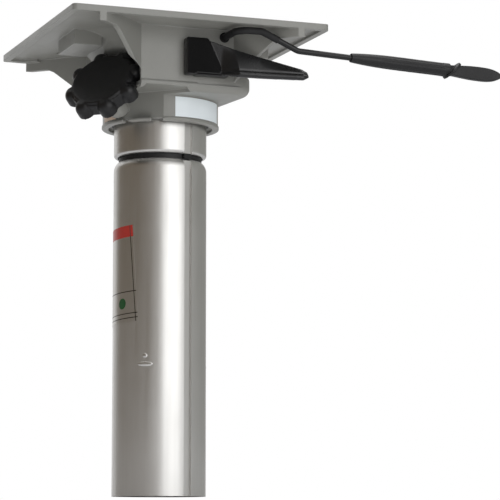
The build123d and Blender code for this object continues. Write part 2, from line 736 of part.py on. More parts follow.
def head_casting():
    """Cast head: plate, bell mouth, webs, bowl and collar in one piece."""
    relief_start = -KNOB_HEIGHT - KNOB_BACK_GAP
    step = block(-PLATE_SIZE, PLATE_SIZE, -PLATE_SIZE, -BODY_FRONT, BODY_FOOT, BOWL_TOP + 1)
    corner = block(-PLATE_SIZE, -BODY_HALF_WIDTH, -PLATE_SIZE, BOWL_CUT_Y, BOWL_FOOT - 1, BOWL_TOP + 1)
    body = flare(0, UNDERSIDE + 1) + trunk(0, BODY_FOOT, UNDERSIDE + 1)
    body += bowl(0, BOWL_FOOT, BOWL_TOP, BOWL_EDGE_R) - step - corner
    body = body + webs() + collar()
    body -= collar_flat()
    body -= knob_bar(KNOB_RELIEF_R, relief_start, KNOB_RELIEF_FRONT)
    body = body + plate() + side_pads()
    body -= cavity() - knob_bar(KNOB_RELIEF_R + CAST_WALL, relief_start - CAST_WALL, KNOB_RELIEF_FRONT)
    body += knob_bar(KNOB_BOSS_R, -KNOB_HEIGHT - STUD_LENGTH, -KNOB_HEIGHT - SEAT_GAP)
    body += inner_bosses()
    body -= disc(SWIVEL_SEAT_R, COLLAR_FOOT - 1, WASHER_TOP)
    body -= disc(COUNTERBORE_R, COLLAR_FOOT - 1, COLLAR_FOOT + COUNTERBORE_DEPTH)
    body -= disc(BOSS_R + LOOSE_GAP, WASHER_TOP - 1, FLOOR_TOP + 1)
    body -= knob_bar(STUD_R + RUN_GAP, -KNOB_HEIGHT - 2 * STUD_LENGTH, 0)
    front = -BODY_FRONT - 1
    body -= along_y(LEVER_X, LEVER_Z, GROMMET_R, front, WALL_INNER)
    body -= along_y(LEVER_X, LEVER_Z, LEVER_R + RUN_GAP, front, PADDLE_SHAFT_END)
    body -= along_y(PADDLE_X, PADDLE_Z, PADDLE_SHAFT_R + RUN_GAP, front, PADDLE_SHAFT_END)
    pin_bore = extrude(Circle(LOCK_PIN_R + RUN_GAP), PADDLE_Z - FLOOR_TOP)
    body -= Pos(LOCK_PIN_X, LOCK_PIN_Y, FLOOR_TOP) * pin_bore
    half = BOLT_SPACING / 2
    for x in (-half, half):
        for y in (-half, half):
            body -= Pos(x, y, UNDERSIDE - 1) * extrude(Circle(BOLT_HOLE_R), PLATE_THICKNESS + 2)
    return body


def swivel_bushing():
    """Bushing in the collar that turns on the sleeve."""
    bushing = ring(SWIVEL_SEAT_R - RUN_GAP, SWIVEL_BORE_R, SWIVEL_BUSHING_FOOT, WASHER_TOP - SEAT_GAP)
    return bushing - knob_bar(STUD_R + LOOSE_GAP, -KNOB_HEIGHT - 2 * STUD_LENGTH, 0)


def collar_label():
    """Large label on the front of the collar."""
    foot = COLLAR_FOOT + COLLAR_LABEL_LIFT
    return wrap(COLLAR_R + LABEL_GAP, COLLAR_LABEL_ANGLES, foot, foot + COLLAR_LABEL_HEIGHT)


def side_label():
    """Small label on the left of the collar, beside the knob's boss."""
    foot = COLLAR_FOOT + COLLAR_LABEL_LIFT
    label = wrap(COLLAR_R + LABEL_GAP, SIDE_LABEL_ANGLES, foot, foot + SIDE_LABEL_HEIGHT)
    return label - knob_bar(KNOB_BOSS_R + SEAT_GAP, -KNOB_HEIGHT - STUD_LENGTH, 0)


# Knob
def knob_socket():
    """Depth of the stud's socket in the knob."""
    return (KNOB_HEIGHT - KNOB_RIM_HEIGHT) * KNOB_SOCKET_SHARE


def knob():
    """Knob with ball-ended lobes round a dished face inside a raised rim."""
    body = Pos(0, 0, -KNOB_SKIRT) * extrude(Circle(KNOB_R), KNOB_SKIRT - KNOB_RIM_HEIGHT)
    body = fillet(body.edges().sort_by(Axis.Z)[-1], KNOB_RIM_HEIGHT / 2)
    for index in range(KNOB_LOBES):
        turn = Rot(0, 0, KNOB_PHASE + index * 360 / KNOB_LOBES)
        length = KNOB_SKIRT - KNOB_LOBE_DEPTH
        shank = Pos(KNOB_LOBE_PITCH, 0, -KNOB_SKIRT) * extrude(Circle(KNOB_LOBE_R), length)
        body += turn * (shank + Pos(KNOB_LOBE_PITCH, 0, -KNOB_LOBE_DEPTH) * Sphere(KNOB_LOBE_R))
    body &= Pos(0, 0, -KNOB_SKIRT) * extrude(Circle(2 * KNOB_R), KNOB_SKIRT)
    rim = Pos(0, 0, -KNOB_RIM_HEIGHT - 1) * extrude(Circle(KNOB_RIM_R), KNOB_RIM_HEIGHT + 1)
    body += chamfer(rim.edges().sort_by(Axis.Z)[-1], KNOB_RIM_WIDTH / 2)
    body += Pos(0, 0, -KNOB_HEIGHT) * extrude(Circle(KNOB_HUB_R), KNOB_HEIGHT - KNOB_SKIRT + 1)
    dish_edge = KNOB_RIM_R - KNOB_RIM_WIDTH
    dish_r = (dish_edge ** 2 + KNOB_DISH ** 2) / (2 * KNOB_DISH)
    body -= Pos(0, 0, dish_r - KNOB_DISH) * Sphere(dish_r)
    body -= Pos(0, 0, -KNOB_HEIGHT) * extrude(Circle(STUD_R + RUN_GAP), knob_socket())
    return knob_place() * body


def knob_stud():
    """Stud moulded into the knob, threaded through the collar."""
    return knob_bar(STUD_R, -KNOB_HEIGHT - STUD_LENGTH, knob_socket() - SEAT_GAP - KNOB_HEIGHT)


def friction_shoe():
    """Shoe at the tip of the stud, hollowed to fit the sleeve."""
    top = -KNOB_HEIGHT - STUD_LENGTH - SEAT_GAP
    shoe = knob_bar(STUD_R, top - SHOE_LENGTH * 2, top)
    clear = COLUMN_R + SHOE_TRAVEL + SEAT_GAP
    return shoe - disc(clear, COLLAR_FOOT - 30, FLOOR_TOP + 30)


# Lever
def lever_points():
    """Corners of the lever's bent rod."""
    corners = (LEVER_KNEE, LEVER_ANKLE, LEVER_END)
    bends = [Vector(LEVER_X + out, LEVER_Y, LEVER_Z + rise) for out, rise in corners]
    inner = Vector(LEVER_INNER_END, 0, LEVER_Z)
    return [inner, Vector(LEVER_X, 0, LEVER_Z), Vector(LEVER_X, LEVER_Y, LEVER_Z)] + bends


def tube_along(points, radii, outer, inner=0.0):
    """Round bar or tube along straight runs and tangent arcs."""
    path = FilletPolyline(*points, radius=radii)
    section = Circle(outer)
    if inner:
        section -= Circle(inner)
    start = Plane(origin=path @ 0, z_dir=path % 0)
    return sweep(start * section, path=path)


def lever_rod():
    """Bent rod from over the valve pin to the grip."""
    radii = [LEVER_INNER_BEND_R, LEVER_BEND_R, LEVER_BEND_R, LEVER_BEND_R]
    return tube_along(lever_points(), radii, LEVER_R)


def lever_sleeve():
    """Sleeving on the rod from the front wall to past the knee."""
    points = lever_points()
    start = Vector(LEVER_X, WALL_INNER - SEAT_GAP, LEVER_Z)
    finish = points[3] + (points[4] - points[3]) * LEVER_SLEEVE_SHARE
    route = [start, points[2], points[3], finish]
    return tube_along(route, [LEVER_BEND_R, LEVER_BEND_R], LEVER_SLEEVE_R, LEVER_R + LEVER_SLEEVE_GAP)


def rod_grommet():
    """Flanged grommet that the lever turns in."""
    bore = LEVER_SLEEVE_R + RUN_GAP
    neck = along_y(LEVER_X, LEVER_Z, GROMMET_R - RUN_GAP, -BODY_FRONT, WALL_INNER)
    flange = along_y(LEVER_X, LEVER_Z, GROMMET_FLANGE_R, -BODY_FRONT - GROMMET_FLANGE, -BODY_FRONT)
    return neck + flange - along_y(LEVER_X, LEVER_Z, bore, -BODY_FRONT - GROMMET_FLANGE - 1, WALL_INNER + 1)


def grip_place(distance):
    """Place on the grip's axis, with Z along it and X up."""
    points = lever_points()
    run = (points[5] - points[4]).normalized()
    origin = points[4] + run * distance
    return Plane(origin=origin, x_dir=run.cross(Vector(0, 1, 0)) * -1, z_dir=run).location


def lever_grip():
    """Moulded grip: ribbed handle, slanted guard and flat leaf."""
    length = GRIP_LENGTH
    start_r, neck_r, middle_r, end_r = GRIP_R
    neck, middle = [share * length for share in GRIP_STATIONS]
    profile = Spline((start_r, 0, 0), (neck_r, 0, neck), (middle_r, 0, middle), (end_r, 0, length))
    edge = Polyline((end_r, 0, length), (0, 0, length), (0, 0, 0), (start_r, 0, 0))
    handle = revolve(make_face(Curve() + [profile, edge]), Axis.Z)
    rib_length = length * GRIP_RIB_SHARE
    for index in range(GRIP_RIBS):
        groove = Pos(middle_r + GRIP_RIB_R / 2, 0, length - rib_length / 2 - end_r)
        handle -= Rot(0, 0, (index + 0.5) * 360 / GRIP_RIBS) * groove * Cylinder(GRIP_RIB_R, rib_length)
    guard = Pos(0, 0, length + GUARD_OFFSET) * Rot(0, GUARD_TILT, 0) * Cylinder(GUARD_R, GUARD_THICKNESS)
    half = LEAF_HEIGHT / 2
    root = length - LEAF_ROOT
    top = Spline(
        (half * 0.7, 0, root),
        (half * 0.95, 0, length + 0.35 * LEAF_LENGTH),
        (half, 0, length + 0.6 * LEAF_LENGTH),
        (half * 0.5, 0, length + 0.92 * LEAF_LENGTH),
        (0, 0, length + LEAF_LENGTH),
    )
    foot = Line((half * 0.7, 0, root), (0, 0, root))
    spine = Line((0, 0, root), (0, 0, length + LEAF_LENGTH))
    leaf = extrude(make_face(Curve() + [top, foot, spine]), LEAF_THICKNESS / 2, both=True)
    leaf += mirror(leaf, Plane.YZ)
    grip = handle + guard + leaf
    rod_end = (lever_points()[5] - lever_points()[4]).length - GRIP_START
    grip -= Pos(0, 0, -1) * extrude(Circle(LEVER_R + GRIP_GAP), rod_end + 1 + SEAT_GAP)
    return grip_place(GRIP_START) * grip


# Paddle
def wing_section(index):
    """Slanted section of the paddle's wing, with a groove above its fat lower edge."""
    thick = WING_THICKNESS[index]
    bead = WING_BEAD[index]
    top_y = -BODY_FRONT - WING_TOP_REACH[index]
    top_z = PADDLE_Z + WING_TOP_RISE[index]
    foot_y = -BODY_FRONT - WING_FOOT_REACH[index]
    foot_z = PADDLE_Z + WING_FOOT_RISE[index]
    groove = foot_y + bead * 0.45
    points = (
        (top_y, top_z),
        (top_y + thick * 0.8, top_z - thick * 0.3),
        (foot_y + bead * 0.5 + thick, foot_z + bead),
        (foot_y + bead * 0.8 + thick * 0.2, foot_z),
        (foot_y + bead * 0.25, foot_z + bead * 0.1),
        (foot_y, foot_z + bead * 0.55),
        (foot_y + bead * 0.15, foot_z + bead * 0.95),
        (groove + WING_GROOVE, foot_z + bead * 1.2),
        (groove, foot_z + bead * 1.55),
    )
    return Pos(PADDLE_X + WING_X[index], 0, 0) * (Plane.YZ * Polygon(*points, align=None))


def paddle():
    """Moulded paddle: a hub block on the wall and a wing swept out to its tip."""
    back = -BODY_FRONT - LOOSE_GAP
    front = back - HUB_DEPTH
    corners = [(PADDLE_X + out, PADDLE_Z + rise) for out, rise in HUB_OUTLINE]
    hub = extrude(Plane.XZ.offset(-back) * Polygon(*corners, align=None), HUB_DEPTH, dir=(0, -1, 0))
    hub = fillet(hub.edges().filter_by(Axis.Y), HUB_CORNER_R)
    wing = loft([wing_section(index) for index in range(len(WING_X))], ruled=True)
    start = PADDLE_X + LIP_START
    foot = PADDLE_Z - LIP_DROP
    lip = block(start, start + LIP_LENGTH, back - LIP_DEPTH, back, foot, foot + LIP_THICKNESS)
    socket = along_y(PADDLE_X, PADDLE_Z, PADDLE_SHAFT_R + PRESS_GAP, back - HUB_SOCKET, back + 1)
    return hub + wing + lip - socket


def paddle_shaft():
    """Shaft from the paddle through the front wall to the crank."""
    start = -BODY_FRONT - LOOSE_GAP - HUB_SOCKET + SEAT_GAP
    return along_y(PADDLE_X, PADDLE_Z, PADDLE_SHAFT_R, start, PADDLE_SHAFT_END)


def lock_crank():
    """Crank on the shaft whose fork lifts the lock pin."""
    y0 = LOCK_PIN_Y - CRANK_THICKNESS / 2
    half = CRANK_ARM_HEIGHT / 2
    gap = LOCK_PIN_R + FORK_GAP
    reach = LOCK_PIN_X + FORK_REACH
    crank = along_y(PADDLE_X, PADDLE_Z, CRANK_HUB_R, y0, y0 + CRANK_THICKNESS)
    crank += block(PADDLE_X, LOCK_PIN_X, y0, y0 + CRANK_THICKNESS, PADDLE_Z - half, PADDLE_Z + half)
    wide = gap + FORK_WALL
    fork_low = LOCK_PIN_Y - wide
    fork_high = LOCK_PIN_Y + wide
    crank += block(LOCK_PIN_X - wide, reach, fork_low, fork_high, PADDLE_Z - half, PADDLE_Z + half)
    slot = block(LOCK_PIN_X - gap, reach + 1, LOCK_PIN_Y - gap, LOCK_PIN_Y + gap, FLOOR_TOP, PLATE_TOP)
    bore = along_y(PADDLE_X, PADDLE_Z, PADDLE_SHAFT_R + PRESS_GAP, y0 - 1, y0 + CRANK_THICKNESS + 1)
    return crank - slot - bore


def shaft_clip():
    """Clip that keeps the shaft in its boss."""
    start = WALL_INNER + PADDLE_BOSS_LENGTH + SEAT_GAP
    clip = along_y(PADDLE_X, PADDLE_Z, CLIP_R, start, start + CLIP_THICKNESS)
    return clip - along_y(PADDLE_X, PADDLE_Z, PADDLE_SHAFT_R + PRESS_GAP, start - 1, start + CLIP_THICKNESS + 1)


def lock_pin():
    """Pin that drops into a notch of the lock ring."""
    foot = LOCK_RING_TOP - LOCK_PIN_ENGAGE
    neck = PADDLE_Z + CRANK_ARM_HEIGHT / 2 + SEAT_GAP
    pin = extrude(Circle(LOCK_PIN_R), neck - foot + 0.5)
    pin = chamfer(pin.edges().sort_by(Axis.Z)[0], 0.4)
    pin += Pos(0, 0, neck - foot) * extrude(Circle(LOCK_PIN_HEAD_R), LOCK_PIN_HEAD)
    return Pos(LOCK_PIN_X, LOCK_PIN_Y, foot) * pin


PIECES = {
    "outer_tube": outer_tube,
    "top_bushing": top_bushing,
    "seat_plug": seat_plug,
    "piston_rod": piston_rod,
    "rod_washer": rod_washer,
    "rod_nut": rod_nut,
    "bump_stop": bump_stop,
    "tube_label": tube_label,
    "slide_tube": slide_tube,
    "lower_bushing": lower_bushing,
    "sleeve_adapter": sleeve_adapter,
    "top_sleeve": top_sleeve,
    "post_cap": post_cap,
    "gas_cylinder": gas_cylinder,
    "valve_pin": valve_pin,
    "thrust_washer": thrust_washer,
    "lock_ring": lock_ring,
    "cylinder_nut": cylinder_nut,
    "head_casting": head_casting,
    "swivel_bushing": swivel_bushing,
    "rod_grommet": rod_grommet,
    "collar_label": collar_label,
    "side_label": side_label,
    "knob": knob,
    "knob_stud": knob_stud,
    "friction_shoe": friction_shoe,
    "lever_rod": lever_rod,
    "lever_sleeve": lever_sleeve,
    "lever_grip": lever_grip,
    "paddle": paddle,
    "paddle_shaft": paddle_shaft,
    "lock_crank": lock_crank,
    "shaft_clip": shaft_clip,
    "lock_pin": lock_pin,
}

os.makedirs("parts", exist_ok=True)
for piece, make in PIECES.items():
    save(make(), piece)
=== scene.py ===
"""Boat seat pedestal: finishes, moulded pieces and a plain studio round the fixed model.

Everything is in metres, in the model's own frame: +Z up, the front of the head towards -Y.
"""

import logging
import math
from contextlib import contextmanager
from dataclasses import dataclass, field
from enum import Enum
from typing import Dict, Iterator, Sequence, Tuple

import bpy
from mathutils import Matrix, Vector


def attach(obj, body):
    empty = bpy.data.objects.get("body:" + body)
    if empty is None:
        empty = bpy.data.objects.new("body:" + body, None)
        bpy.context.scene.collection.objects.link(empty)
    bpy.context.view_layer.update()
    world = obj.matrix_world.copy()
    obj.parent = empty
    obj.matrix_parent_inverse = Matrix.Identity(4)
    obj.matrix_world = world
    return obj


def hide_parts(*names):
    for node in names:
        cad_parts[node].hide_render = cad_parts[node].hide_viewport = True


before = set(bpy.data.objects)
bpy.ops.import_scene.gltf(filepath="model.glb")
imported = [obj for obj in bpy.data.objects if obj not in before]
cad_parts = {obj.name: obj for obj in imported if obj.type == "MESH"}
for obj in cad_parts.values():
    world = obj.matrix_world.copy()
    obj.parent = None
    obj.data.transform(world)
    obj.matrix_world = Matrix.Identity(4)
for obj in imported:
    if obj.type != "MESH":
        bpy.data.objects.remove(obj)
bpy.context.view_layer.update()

log = logging.getLogger("pedestal")

Colour = Tuple[float, float, float]
Point = Tuple[float, float, float]
Pair = Tuple[float, float]
Piece = bpy.types.Object
Finish = bpy.types.Material
Tree = bpy.types.NodeTree
Socket = bpy.types.NodeSocket

UPWARDS: Point = (0.0, 0.0, 1.0)
MERGE_DISTANCE = 0.000002
SHARP_ANGLE = math.radians(28.0)


class Weathering(Enum):
    """How much a surface shows handling."""

    NEW = 0.15
    HANDLED = 0.45


# Mesh helpers
def select_only(piece: Piece) -> None:
    """Make a piece the only one selected, and active.

    Args:
        piece: the piece.
    """
    bpy.ops.object.select_all(action="DESELECT")
    piece.select_set(True)
    bpy.context.view_layer.objects.active = piece


@contextmanager
def edit_mode() -> Iterator[None]:
    """Hold the active piece in edit mode.

    Returns:
        A context that ends in object mode.
    """
    bpy.ops.object.mode_set(mode="EDIT")
    yield
    bpy.ops.object.mode_set(mode="OBJECT")


def closed_copy(node: str, name: str) -> Piece:
    """Copy a CAD node's mesh as a new piece, with its loose triangles joined.

    Args:
        node: the CAD node.
        name: name of the new piece.

    Returns:
        The new piece, at the origin.
    """
    piece = bpy.data.objects.new(name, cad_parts[node].data.copy())
    bpy.context.scene.collection.objects.link(piece)
    select_only(piece)
    with edit_mode():
        bpy.ops.mesh.select_all(action="SELECT")
        bpy.ops.mesh.remove_doubles(threshold=MERGE_DISTANCE)
    return piece


def settle(scale: Sequence[float]) -> Piece:
    """Scale the piece just added, and apply its place, turn and scale.

    Args:
        scale: factor on each of its axes.

    Returns:
        The piece, at the origin.
    """
    piece = bpy.context.object
    piece.scale = scale
    bpy.ops.object.transform_apply(location=True, rotation=True, scale=True)
    return piece


def apply_modifier(piece: Piece, kind: str, **settings: object) -> None:
    """Add a modifier to a piece and apply it.

    Args:
        piece: the piece.
        kind: Blender's name for the modifier type.
        settings: properties of the modifier.
    """
    select_only(piece)
    bpy.ops.object.modifier_add(type=kind)
    modifier = piece.modifiers[-1]
    for name, value in settings.items():
        setattr(modifier, name, value)
    bpy.ops.object.modifier_apply(modifier=modifier.name)


def combine(piece: Piece, other: Piece, operation: str) -> None:
    """Cut a closed mesh out of a piece, or join it on, and remove that mesh."""
    apply_modifier(piece, "BOOLEAN", operation=operation, solver="EXACT", object=other)
    bpy.data.objects.remove(other, do_unlink=True)


def soften_faces(piece: Piece) -> None:
    """Shade a piece smooth, but for its sharp edges.

    Args:
        piece: the piece.
    """
    select_only(piece)
    with edit_mode():
        bpy.ops.mesh.customdata_custom_splitnormals_clear()
    bpy.ops.object.shade_smooth_by_angle(angle=SHARP_ANGLE)


def wear_material(piece: Piece, material: Finish) -> None:
    """Replace a piece's materials with one.

    Args:
        piece: the piece.
        material: what it wears.
    """
    piece.data.materials.clear()
    piece.data.materials.append(material)
    log.info("made %s in %s", piece.name, material.name)


# Node helpers
def rgba(colour: Colour) -> Tuple[float, float, float, float]:
    """Make a colour opaque for a socket."""
    return (colour[0], colour[1], colour[2], 1.0)


def blank_tree(holder: bpy.types.ID) -> Tree:
    """Give a material or a world an empty node tree.

    Args:
        holder: the material or world.

    Returns:
        Its node tree.
    """
    holder.use_nodes = True
    holder.node_tree.nodes.clear()
    return holder.node_tree


def add_node(tree: Tree, kind: str, **settings: object) -> bpy.types.Node:
    """Add a node and set its properties.

    Args:
        tree: node tree that the node joins.
        kind: Blender's name for the node type.
        settings: properties of the node.

    Returns:
        The new node.
    """
    node = tree.nodes.new(kind)
    for name, value in settings.items():
        setattr(node, name, value)
    return node


def calculate(tree: Tree, operation: str, first: object, second: object = 0.0) -> Socket:
    """Add a Math node.

    Args:
        tree: node tree that the node joins.
        operation: the node's operation.
        first: socket or number.
        second: socket or number.

    Returns:
        The node's output socket.
    """
    node = add_node(tree, "ShaderNodeMath", operation=operation)
    for index, value in enumerate((first, second)):
        if isinstance(value, (int, float)):
            node.inputs[index].default_value = value
        else:
            tree.links.new(value, node.inputs[index])
    return node.outputs[0]


def near(tree: Tree, value: Socket, centre: float, reach: float) -> Socket:
    """Mask where a value is within reach of a centre."""
    gap = calculate(tree, "ABSOLUTE", calculate(tree, "SUBTRACT", value, centre))
    return calculate(tree, "LESS_THAN", gap, reach)


def blend_colour(tree: Tree, factor: Socket, first: object, second: object) -> Socket:
    """Add a colour Mix node.

    Args:
        tree: node tree that the node joins.
        factor: socket for the mix.
        first: socket or colour at factor 0.
        second: socket or colour at factor 1.

    Returns:
        The mixed colour's socket.
    """
    node = add_node(tree, "ShaderNodeMix", data_type="RGBA", blend_type="MIX", clamp_factor=True)
    tree.links.new(factor, node.inputs[0])
    for index, value in ((6, first), (7, second)):
        if isinstance(value, Socket):
            tree.links.new(value, node.inputs[index])
        else:
            node.inputs[index].default_value = rgba(value)
    return node.outputs[2]


def remap(
    tree: Tree,
    value: Socket,
    low: float,
    high: float,
    to_low: float = 0.0,
    to_high: float = 1.0,
) -> Socket:
    """Add a clamped Map Range node.

    Args:
        tree: node tree that the node joins.
        value: socket to remap.
        low: value that becomes to_low.
        high: value that becomes to_high.
        to_low: lower result.
        to_high: upper result.

    Returns:
        The remapped value's socket.
    """
    node = add_node(tree, "ShaderNodeMapRange", clamp=True)
    tree.links.new(value, node.inputs[0])
    for index, number in ((1, low), (2, high), (3, to_low), (4, to_high)):
        node.inputs[index].default_value = number
    return node.outputs[0]


@dataclass(frozen=True)
class Grain:
    """One noise, and the part of its range that makes a mask."""

    scale: float
    detail: float
    stretch: Point = (1.0, 1.0, 1.0)
    window: Pair = (0.0, 1.0)

    def noise(self, tree: Tree, place: Socket) -> Socket:
        """Add the noise texture.

        Args:
            tree: node tree that the nodes join.
            place: socket with the place in metres.

        Returns:
            The noise value's socket.
        """
        mapping = add_node(tree, "ShaderNodeMapping")
        mapping.inputs["Scale"].default_value = self.stretch
        tree.links.new(place, mapping.inputs["Vector"])
        texture = add_node(tree, "ShaderNodeTexNoise")
        texture.inputs["Scale"].default_value = self.scale
        texture.inputs["Detail"].default_value = self.detail
        tree.links.new(mapping.outputs[0], texture.inputs["Vector"])
        return texture.outputs[0]

    def mask(self, tree: Tree, place: Socket) -> Socket:
        """Add the noise, with its window stretched to a mask from 0 to 1."""
        return remap(tree, self.noise(tree, place), *self.window)


ORANGE_PEEL = Grain(900.0, 3.0)
SLOW_WAVES = Grain(60.0, 2.0)
SPECKLES = Grain(1700.0, 1.0, window=(0.38, 0.66))
CLOUDS = Grain(22.0, 3.0, window=(0.3, 0.7))
EDGE_PATCHES = Grain(160.0, 4.0, window=(0.42, 0.62))
DIE_LINES = Grain(1500.0, 3.0, stretch=(1.0, 1.0, 0.012))
DIE_BANDS = Grain(260.0, 2.0, stretch=(1.0, 1.0, 0.02), window=(0.3, 0.7))
SMUDGES = Grain(45.0, 5.0, stretch=(1.0, 1.0, 0.6), window=(0.45, 0.7))
DUST = Grain(2600.0, 1.0, window=(0.62, 0.72))


def new_group(name: str, inputs: Dict[str, float], outputs: Sequence[str]) -> Tree:
    """Start a node group with a Place input, value inputs and value outputs.

    Args:
        name: name of the group.
        inputs: value inputs with their defaults.
        outputs: names of the value outputs.

    Returns:
        The group's node tree, with its input and output nodes in place.
    """
    group = bpy.data.node_groups.new(name, "ShaderNodeTree")
    group.interface.new_socket("Place", in_out="INPUT", socket_type="NodeSocketVector")
    for label, value in inputs.items():
        socket = group.interface.new_socket(label, in_out="INPUT", socket_type="NodeSocketFloat")
        socket.default_value = value
    for label in outputs:
        group.interface.new_socket(label, in_out="OUTPUT", socket_type="NodeSocketFloat")
    add_node(group, "NodeGroupInput", name="in")
    add_node(group, "NodeGroupOutput", name="out")
    return group


class Effects:
    """Surface effects that several finishes share."""

    EDGE_STARTS = 0.995
    EDGE_FULL = 0.86
    EDGE_SAMPLES = 6

    def __init__(self) -> None:
        """Build every shared group once."""
        self.edge_wear = self.build_edge_wear()
        self.cast_grain = self.build_cast_grain()
        self.draw_lines = self.build_draw_lines()
        self.handling = self.build_handling()

    def build_edge_wear(self) -> Tree:
        """Mask of outer edges, broken up by noise.

        Returns:
            The edge_wear group.
        """
        group = new_group("edge_wear", {"Width": 0.0005, "Breakup": 0.5}, ("Mask",))
        source, result = group.nodes["in"].outputs, group.nodes["out"].inputs
        bevel = add_node(group, "ShaderNodeBevel", samples=self.EDGE_SAMPLES)
        group.links.new(source["Width"], bevel.inputs["Radius"])
        geometry = add_node(group, "ShaderNodeNewGeometry")
        dot = add_node(group, "ShaderNodeVectorMath", operation="DOT_PRODUCT")
        group.links.new(bevel.outputs[0], dot.inputs[0])
        group.links.new(geometry.outputs["Normal"], dot.inputs[1])
        edge = remap(group, dot.outputs["Value"], self.EDGE_STARTS, self.EDGE_FULL)
        patches = EDGE_PATCHES.mask(group, source["Place"])
        broken = calculate(group, "MULTIPLY", patches, source["Breakup"])
        whole = calculate(group, "SUBTRACT", 1.0, source["Breakup"])
        share = calculate(group, "ADD", broken, whole)
        group.links.new(calculate(group, "MULTIPLY", edge, share), result["Mask"])
        return group

    @staticmethod
    def build_cast_grain() -> Tree:
        """Fine orange peel and slow waves of a painted casting.

        Returns:
            The cast_grain group.
        """
        outputs = ("Height", "Speckle", "Cloud")
        group = new_group("cast_grain", {"Fine": 1.0, "Waves": 1.0}, outputs)
        source, result = group.nodes["in"].outputs, group.nodes["out"].inputs
        place = source["Place"]
        peel = calculate(group, "MULTIPLY", ORANGE_PEEL.noise(group, place), source["Fine"])
        waves = calculate(group, "MULTIPLY", SLOW_WAVES.noise(group, place), source["Waves"])
        group.links.new(calculate(group, "ADD", peel, waves), result["Height"])
        group.links.new(SPECKLES.mask(group, place), result["Speckle"])
        group.links.new(CLOUDS.mask(group, place), result["Cloud"])
        return group

    @staticmethod
    def build_draw_lines() -> Tree:
        """Long fine lines that an extrusion die leaves along Z.

        Returns:
            The draw_lines group.
        """
        group = new_group("draw_lines", {"Amount": 1.0}, ("Height", "Streak"))
        source, result = group.nodes["in"].outputs, group.nodes["out"].inputs
        place = source["Place"]
        lines = calculate(group, "MULTIPLY", DIE_LINES.noise(group, place), source["Amount"])
        group.links.new(lines, result["Height"])
        group.links.new(DIE_BANDS.mask(group, place), result["Streak"])
        return group

    @staticmethod
    def build_handling() -> Tree:
        """Smudges and fine dust of a handled surface.

        Returns:
            The handling group.
        """
        group = new_group("handling", {"Amount": 1.0}, ("Smudge", "Dust"))
        source, result = group.nodes["in"].outputs, group.nodes["out"].inputs
        for label, grain in (("Smudge", SMUDGES), ("Dust", DUST)):
            mask = grain.mask(group, source["Place"])
            group.links.new(calculate(group, "MULTIPLY", mask, source["Amount"]), result[label])
        return group


class Sheet:
    """One material's node tree while it is being laid out."""

    ROUND_SAMPLES = 8

    def __init__(self, name: str) -> None:
        """Start a material with a Principled shader and the place in metres.

        Args:
            name: name of the material.
        """
        self.material = bpy.data.materials.new(name)
        self.tree = blank_tree(self.material)
        self.shader = add_node(self.tree, "ShaderNodeBsdfPrincipled")
        output = add_node(self.tree, "ShaderNodeOutputMaterial")
        self.tree.links.new(self.shader.outputs[0], output.inputs[0])
        self.place = add_node(self.tree, "ShaderNodeTexCoord").outputs["Object"]

    def constant(self, **values: object) -> None:
        """Set plain values on the shader's own sockets.

        Args:
            values: value of each socket, by its name in lower case.
        """
        for name, value in values.items():
            label = name.replace("_", " ").title().replace("Ior", "IOR")
            self.shader.inputs[label].default_value = value

    def effect(self, group: Tree, **values: float) -> Dict[str, Socket]:
        """Place a shared effect and set its inputs.

        Args:
            group: the shared node group.
            values: inputs of this placement.

        Returns:
            The group's outputs by name.
        """
        node = add_node(self.tree, "ShaderNodeGroup", node_tree=group)
        self.tree.links.new(self.place, node.inputs["Place"])
        for name, value in values.items():
            node.inputs[name].default_value = value
        return {socket.name: socket for socket in node.outputs}

    def feed(self, name: str, value: Socket) -> None:
        """Link a socket to one of the shader's inputs."""
        self.tree.links.new(value, self.shader.inputs[name])

    def tint(self, colour: object, other: Colour, mask: Socket, share: float) -> Socket:
        """Mix up to a share of a second colour in where a mask says."""
        return blend_colour(self.tree, remap(self.tree, mask, 0.0, 1.0, 0.0, share), colour, other)

    def roughen(self, mask: Socket, low: float, high: float, full: float = 1.0) -> None:
        """Feed the roughness, low where a mask is 0 and high where it is full."""
        self.feed("Roughness", remap(self.tree, mask, 0.0, full, low, high))

    def bump(self, height: Socket, distance: float, rounding: float = 0.0) -> None:
        """Feed a height to the shader's normal.

        Args:
            height: the height's socket.
            distance: height of the relief in metres.
            rounding: radius that edges look rounded to, or none.
        """
        node = add_node(self.tree, "ShaderNodeBump")
        if rounding:
            soft = add_node(self.tree, "ShaderNodeBevel", samples=self.ROUND_SAMPLES)
            soft.inputs["Radius"].default_value = rounding
            self.tree.links.new(soft.outputs[0], node.inputs["Normal"])
        node.inputs["Distance"].default_value = distance
        self.tree.links.new(height, node.inputs["Height"])
        self.feed("Normal", node.outputs[0])


